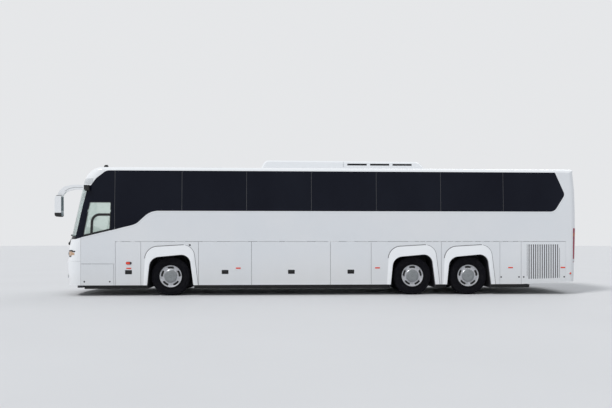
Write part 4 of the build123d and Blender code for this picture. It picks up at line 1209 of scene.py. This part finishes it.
def blank_plate(name, x, z, way, body):
    """Number plate with nothing on it, in its holder."""
    for piece, half_y, half_z, back, front, radius, edge, finish in (
            (name + "_holder", 0.270, 0.064, 0.0, 0.010, 0.012, 0.002, BLACK),
            (name, 0.260, 0.055, 0.006, 0.013, 0.008, 0.001, LIT_WHITE)):
        x0, x1 = sorted((x + way * back, x + way * front))
        corners = (-half_y, half_y, z - half_z, z + half_z)
        new_piece(piece, plate(corners, radius, x0, x1, edge, "x"), body, finish)


def dressed_front():
    """Windscreen, mask, bumper, lamps, air intake and the blank plate."""
    dressed("windscreen", SCREEN_GLASS)
    dressed("front_mask", LIT_WHITE)
    dressed("front_bumper", LIT_WHITE)
    for side, name in SIDES:
        nose_lamps(side, name)
    front_grille()
    blank_plate("front_plate", nose_point(0.24, 0.44).x - 0.006, 0.44, 1, "coach")
    feet = [block(6.245, 6.375, side * 1.02, side * 1.21, 0.215, 0.285, 0.006) for side in (LEFT, RIGHT)]
    joined("nose_feet", feet, "coach", SEAM_RUBBER)


def wiper_arms():
    """Two jointed arms that carry the blades, with their pivots on the mask."""
    arms = []
    for side in (LEFT, RIGHT):
        foot = nose_point(side * 0.80, 1.358, 0.004)
        tip = nose_point(side * 0.50, 1.575, 0.030)
        bend = foot.lerp(tip, 0.5) + Vector((0.035, 0, 0))
        arms.append(tube([foot, foot + Vector((0.045, 0, 0.01)), bend, tip], 0.021, 8))
        arms.append(turned([(0.0, 0.070), (0.028, 0.068), (0.040, 0.058), (0.044, 0.022), (0.054, 0.004),
                            (0.056, -0.03)], foot, "x", 1, 32))
    joined("wiper_arms", arms, "coach", MATT_BLACK)
    dressed("wipers", MATT_BLACK)


dressed_front()
wiper_arms()


# Mirrors

def dressed_mirrors():
    """White heads with a black foot, mirror glass behind, white arms and black brackets."""
    feet, roots, joints = [[block(x0, x1, side * y0, side * 1.50, z0, z1, 0) for side in (LEFT, RIGHT)]
                           for x0, x1, y0, z0, z1 in ((6.60, 7.00, 1.10, 2.0, 2.150),
                                                      (5.90, 6.185, 1.00, 2.6, 2.95),
                                                      (6.60, 7.00, 1.10, 2.580, 2.605))]
    dressed("mirror_heads", LIT_WHITE, None, feet + [m.copy() for m in joints])
    dressed("mirror_arms", LIT_WHITE, None, roots)
    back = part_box("mirror_heads")[0].x + 0.001
    for i, (side, name) in enumerate(SIDES):
        chunk("mirror_foot_" + name, "mirror_heads", feet[i].copy(), MATT_BLACK)
        chunk("mirror_joint_" + name, "mirror_heads", joints[i], GROOVE)
        chunk("mirror_bracket_" + name, "mirror_arms", roots[i].copy(), MATT_BLACK)
        y0, y1 = sorted((side * 1.222, side * 1.374))
        panes = [plate((y0, y1, z0, z1), radius, back - 0.004, back, 0.001, "x")
                 for z0, z1, radius in ((2.185, 2.560, 0.022), (2.072, 2.168, 0.018))]
        joined("mirror_glass_" + name, panes, "coach", MIRROR)
        joint = finely([(6.20, 2.806), (6.42, 2.806), (6.56, 2.775), (6.66, 2.705)], 0.03)
        line = tube([(x, side * 1.3065, z) for x, z in joint], 0.004, 6)
        joined("arm_line_" + name, [line], "coach", GROOVE)


dressed_mirrors()


# Roof

def roof_z(x, y):
    """Height of the roof at a place from above."""
    hit = OUTSIDE.ray_cast(Vector((x, y, 5.0)), Vector((0, 0, -1)), 3.0)[0]
    return hit.z if hit else ROOF_Z


def roof_hatch(x, half=0.38):
    """Low white hatch with a black seal."""
    z = roof_z(x, half)
    rim = half + 0.02
    seal = plate((x - rim, x + rim, -rim, rim), 0.06, z - 0.02, ROOF_Z + 0.008, 0.0, "z")
    lid = plate((x - half, x + half, -half, half), 0.05, ROOF_Z + 0.006, ROOF_Z + 0.034, 0.012, "z", 6, 3)
    return seal, lid


def dressed_roof():
    """Roof, domes, pod with its side louvres, hatches and aerial."""
    for node in ("roof_panel", "front_dome", "rear_dome", "roof_pod"):
        dressed(node, LIT_WHITE)
    for side, name in SIDES:
        side_chunk("marker_lamp_" + name, "front_dome", side, (5.97, 6.60, 0.98, 1.30, 2.910, 3.052),
                   CLEAR_LENS, 0.0012, 0.012)
    seals, lids = zip(*[roof_hatch(x) for x in (3.1, -4.1)])
    joined("hatch_seals", seals, "coach", SEAM_RUBBER)
    joined("hatch_lids", lids, "coach", WHITE)
    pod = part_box("roof_pod")[1].y
    backs = []
    slats = []
    for side in (LEFT, RIGHT):
        for front, rear in ((-0.671, -1.199), (-1.287, -1.810), (-1.900, -2.422)):
            y0, y1 = side * (pod - 0.0395), side * (pod - 0.020)
            backs.append(block(rear + 0.0005, front - 0.0005, y0, y1, 3.4635, 3.5125, 0))
            y0, y1 = side * (pod - 0.019), side * (pod - 0.006)
            for z in (3.476, 3.488, 3.500):
                slats.append(block(rear + 0.001, front - 0.001, y0, y1, z - 0.0016, z + 0.0016, 0))
    joined("pod_backs", backs, "coach", SEAM_RUBBER)
    joined("pod_slats", slats, "coach", BLACK)
    x = 6.02
    z = roof_z(x, 0.0)
    fin = prism(rounded_outline([(x - 0.11, z - 0.06), (x + 0.12, z - 0.06), (x + 0.040, 3.548),
                                 (x - 0.045, 3.565)], [0, 0, 0.03, 0.03]), -0.024, 0.024, "y", 0.010)
    foot = plate((x - 0.125, x + 0.135, -0.045, 0.045), 0.043, z - 0.07, z + 0.006, 0.004, "z")
    joined("roof_aerial", [fin, foot], "coach", MATT_BLACK)


dressed_roof()


# Rear end and engine side door

def engine_grille():
    """Dark core behind the upright bars of the engine side door."""
    dressed("grille_door_left", WHITE)
    line = grown([(-6.339, 0.437), (-5.478, 0.412), (-5.442, 0.500), (-5.442, 1.332), (-6.295, 1.332),
                  (-6.339, 1.225)], 0.004)
    body = body_of("grille_door_left")
    new_piece("grille_core", prism(line, SKIN_Y - 0.021, SKIN_Y - 0.015), body, CORE)
    rails = [tube([(x, SKIN_Y - 0.014, z) for x in (-6.335, -5.445)], 0.005, 6) for z in (0.62, 0.87, 1.12)]
    joined("grille_rails", rails, body, GROOVE)


def tail_end():
    """Rear mask, window, lamps that turn the corner, lid louvres, handle and a blank plate."""
    dressed("rear_mask", WHITE)
    dressed("rear_window", DARK_GLASS)
    dressed("engine_lid", WHITE)
    for side, name in SIDES:
        lamp = side_chunk("tail_lamp_" + name, "rear_mask", side, (-7.0, -6.708, 1.055, 1.35, 0.860, 1.762),
                          TAIL_LENS, 0.006)
        if side == LEFT:
            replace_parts(lamp, "tail_lamps")
    louvres = []
    for z in [1.02 + 0.045 * i for i in range(9)]:
        for first, last in ((-0.74, -0.10), (0.10, 0.74)):
            line = [lid_point(y, z, 0.005) for y in spread(first, last, 13)]
            louvres.append(tube(line, 0.010, 6, False, 0.5))
    joined("lid_louvres", louvres, "engine_lid", GROOVE)
    skin, z = lid_point(0.0, 0.735).x, 0.735
    path = [(skin + 0.006, -0.075, z), (skin - 0.013, -0.055, z), (skin - 0.013, 0.055, z),
            (skin + 0.006, 0.075, z)]
    new_piece("lid_pull", tube(path, 0.008, 8), "engine_lid", MATT_BLACK)
    blank_plate("rear_plate", lid_point(0.26, 0.86, 0.002).x, 0.86, -1, "engine_lid")


LID_TREE = search_tree(("engine_lid",))
engine_grille()
tail_end()


# Doors and remaining panels

RIB = 0.035                                           # width of a stiffening rib
PLAIN_LEFT = tuple(node for node in DOORS_LEFT if node != "grille_door_left")
PLAIN_RIGHT = DOORS_RIGHT[:3]

for finish, nodes in ((WHITE, ("side_wall_left", "side_wall_right", "passenger_doors")),
                      (WHITE, PLAIN_RIGHT + PLAIN_LEFT),
                      (CLEAR_GLASS, ("door_glazing",)),
                      (CHASSIS, ("underframe", "front_axle", "drive_axle", "tag_axle")),
                      (CASTING, ("knuckle_left", "knuckle_right", "engine_block")),
                      (SEAM_RUBBER, ("wheel_housings",)),
                      (LINING, ("luggage_hold", "dashboard")),
                      (FLOOR_COVER, ("saloon_floor",))):
    for node in nodes:
        dressed(node, finish)


def shade_belly_pans():
    """Black closing pans low under the body, between and behind the wheels, with their hangers; hung lower
    than real pans, they are partly painted shade that fills the dark under the coach.
    """
    meshes = []
    for x0, x1, top in ((-1.745, 3.360, 0.302), (4.612, 6.22, 0.262), (-5.55, -4.500, 0.262),
                        (-3.250, -2.995, 0.262)):
        outline = rounded_outline([(-1.17, top), (-1.14, 0.175), (1.14, 0.175), (1.17, top)],
                                  [0, 0.03, 0.03, 0], 3)
        meshes.append(prism(outline, x0, x1, "x", 0.004))
        if top < 0.30:
            for x in (x0 + 0.06, x1 - 0.06):
                for y in (-0.42, 0.42):
                    meshes.append(block(x - 0.03, x + 0.03, y - 0.02, y + 0.02, top - 0.01, 0.60, 0.004))
    for x0, x1 in ((-4.50, -3.25), (-2.995, -1.745), (3.360, 4.612)):
        for y in (-0.405, 0.395):
            meshes.append(block(x0 - 0.01, x1 + 0.01, y, y + 0.010, 0.185, 0.50, 0.002))
    joined("shade_belly_pans", meshes, "coach", MATT_BLACK)


def inner_frame(node):
    """Stiffening ribs on the inside of a door or lid that hinges on a side."""
    low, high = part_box(node)
    side = LEFT if low.y > 0 else RIGHT
    skin = min(abs(low.y), abs(high.y))
    y0, y1 = sorted((side * (skin - 0.012), side * (skin + 0.002)))
    x0, x1, z0, z1 = low.x + 0.045, high.x - 0.045, low.z + 0.045, high.z - 0.045
    ribs = [block(x0, x1, y0, y1, z, z + RIB, 0.004) for z in (z0, z1 - RIB)]
    for x in spread(x0, x1 - RIB, 2 + max(0, int((x1 - x0) / 0.45))):
        ribs.append(block(x, x + RIB, y0, y1, z0, z1, 0.004))
    joined("ribs_" + node, ribs, body_of(node), SEAM_RUBBER)


shade_belly_pans()
for node in PLAIN_LEFT + PLAIN_RIGHT:
    inner_frame(node)


# Seats

SEAT_REACH = 0.330                                    # front edge of a cushion ahead of the seat's origin
ROWS, ROW_PITCH = 13, 0.825
DOOR_ROWS = (6, 7)


def pad(length, width, thick, crown, channels=(), head=0.0):
    """Stuffed pad about the origin: soft edges, sides that pull in, sewn channels across its top."""
    shape = bmesh.new()
    bmesh.ops.create_cube(shape, size=2.0)
    bmesh.ops.subdivide_edges(shape, edges=shape.edges[:], cuts=9, use_grid_fill=True)
    for v in shape.verts:
        x, y, z = v.co
        reach = (abs(x) ** 7 + abs(y) ** 7 + abs(z) ** 5) ** (1 / 7)
        x, y, z = x / reach, y / reach, z / reach
        lift = crown * max(0.0, 1 - x * x) * max(0.0, 1 - y * y)
        if z > 0.2:
            for place in channels:
                lift -= 0.006 * math.exp(-((x - place) / 0.06) ** 2)
        if x > 0.45:
            lift += head * math.sin((x - 0.45) / 0.55 * math.pi) ** 2
        v.co = Vector((x * length / 2 * (1 - 0.025 * (1 - y * y)), y * width / 2 * (1 - 0.035 * (1 - x * x)),
                       z * thick / 2 + (lift if z > 0 else 0)))
    return from_bmesh(shape, "pad", 60)


def seat_parts(at_x, y, floor, width, pads, hard):
    """Cushion and back of one seat into one list, its shell and rails into another."""
    (cushions, cushion), (backs, back) = pads
    spot = Matrix.Translation((at_x + 0.140, y, floor + 0.425)) @ Matrix.Rotation(math.radians(-2.5), 4, "Y")
    cushions.append(placed(cushion, spot))
    lean = math.atan2(0.14, 0.70)
    spot = (Matrix.Translation((at_x - 0.160, y, floor + 0.790))
            @ Matrix.Rotation(-math.pi / 2 - lean, 4, "Y") @ Matrix.Rotation(math.pi, 4, "X"))
    backs.append(placed(back, spot))
    shell = [(-0.150, 0.375), (-0.120, 0.375), (-0.275, 1.060), (-0.298, 1.060)]
    line = rounded_outline([(at_x + x, floor + z) for x, z in shell], 0.006, 3)
    hard.append(prism(line, y - width * 0.47, y + width * 0.47, "y", 0.004))
    y0, y1 = y - width * 0.42, y + width * 0.42
    hard.append(block(at_x - 0.06, at_x + 0.30, y0, y1, floor + 0.350, floor + 0.378, 0.006))


def seat_leg(at_x, y, floor):
    """Splayed leg under a seat."""
    line = [(at_x + x, floor + z) for x, z in ((-0.085, 0), (0.055, 0), (0.080, 0.355), (-0.055, 0.355))]
    return prism(rounded_outline(line, 0.01, 3), y - 0.022, y + 0.022, "y", 0.004)


def upholstered(names, node, cushions, backs):
    """Cushions and backs as two padded pieces that stand for a CAD node."""
    for name, meshes in zip(names, (cushions, backs)):
        piece = joined(name, meshes, "coach", CLOTH, angle=60)
        if meshes is cushions:
            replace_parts(piece, node)


def passenger_rows():
    """Rows of double seats to both sides of the aisle, with a gap at the middle door."""
    low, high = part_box("passenger_seats")
    first = high.x - SEAT_REACH
    cushion = pad(0.40, 0.428, 0.105, 0.014, (-0.30, 0.30))
    back = pad(0.70, 0.428, 0.085, 0.012, (-0.45, -0.05, 0.38), 0.022)
    cushions, backs, hard = [], [], []
    for row in range(ROWS):
        at_x = first - row * ROW_PITCH
        for side in (LEFT, RIGHT):
            if side == RIGHT and row in DOOR_ROWS:
                continue
            for y in (0.4825, 0.9275):
                seat_parts(at_x, side * y, low.z, 0.435, ((cushions, cushion), (backs, back)), hard)
            for y in (0.36, 1.05):
                hard.append(seat_leg(at_x, side * y, low.z))
            arm = (at_x - 0.20, at_x + 0.13, low.z + 0.615, low.z + 0.650)
            hard.append(plate(arm, 0.016, side * 0.252, side * 0.276, 0.005, steps=4))
    upholstered(("passenger_cushions", "passenger_backs"), "passenger_seats", cushions, backs)
    joined("passenger_shells", hard, "coach", BLACK)


def driver_chair():
    """Driver's seat on its bellows."""
    low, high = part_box("driver_seat")
    at_x, y = high.x - SEAT_REACH, (low.y + high.y) / 2
    cushions, backs, hard = [], [], []
    pads = ((cushions, pad(0.42, 0.480, 0.115, 0.018, (-0.25, 0.35))),
            (backs, pad(0.72, 0.470, 0.095, 0.014, (-0.50, -0.10, 0.36), 0.026)))
    seat_parts(at_x, y, low.z, 0.48, pads, hard)
    column = (at_x - 0.11, at_x + 0.12, low.z, low.z + 0.20)
    bellows = (at_x - 0.06, at_x + 0.16, low.z + 0.19, low.z + 0.36)
    hard.append(plate(column, 0.02, y - 0.18, y + 0.18, 0.010, steps=4))
    hard.append(plate(bellows, 0.03, y - 0.14, y + 0.14, 0.012, steps=4))
    upholstered(("driver_cushion", "driver_back"), "driver_seat", cushions, backs)
    joined("driver_seat_frame", hard, "coach", BLACK)


def driver_wheel():
    """Steering wheel on its column and the instrument hood."""
    low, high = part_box("driver_seat")
    y = (low.y + high.y) / 2
    low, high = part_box("steering_wheel")
    middle = (low + high) / 2
    hub = Matrix.Translation(middle) @ Matrix.Rotation(math.radians(-30), 4, "Y")
    ring = [(0.214 * math.cos(math.radians(6 * i)), 0.214 * math.sin(math.radians(6 * i)), 0)
            for i in range(60)]
    wheel = [tube(ring, 0.0135, 12, True),
             turned([(0.0, 0.012), (0.045, 0.010), (0.062, 0.002), (0.066, -0.016), (0.040, -0.034),
                     (0.0, -0.036)], (0, 0, 0), "z", 1, 40)]
    for turn in (-25, 155, 270):
        way = Vector((math.cos(math.radians(turn)), math.sin(math.radians(turn)), 0))
        spoke = [way * 0.05 + Vector((0, 0, -0.012)), way * 0.13 + Vector((0, 0, -0.010)), way * 0.212]
        wheel.append(tube(spoke, 0.014, 10, False, 0.55))
    rim = joined("wheel_rim_and_spokes", [placed(m, hub) for m in wheel], "steering_wheel", MATT_BLACK)
    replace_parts(rim, "steering_wheel")
    down = Vector((0.5, 0, -0.866))
    column = tube([middle + down * 0.045, middle + down * 0.245], 0.026, 16)
    outline = rounded_outline([(6.10, 1.60), (6.12, 1.735), (6.22, 1.790), (6.36, 1.775), (6.44, 1.60)],
                              [0, 0.03, 0.05, 0.05, 0], 5)
    hood = prism(outline, y - 0.24, y + 0.24, "y", 0.012)
    vents = [turned([(0.0, 0.004), (0.028, 0.004), (0.032, 0.008), (0.040, 0.008), (0.043, -0.01)],
                    (6.30, v, 1.692), "z", 1, 28) for v in (-1.0, -0.6, -0.2, 0.2)]
    joined("instrument_hood", [hood, column] + vents, "coach", BLACK)


passenger_rows()
driver_chair()
driver_wheel()
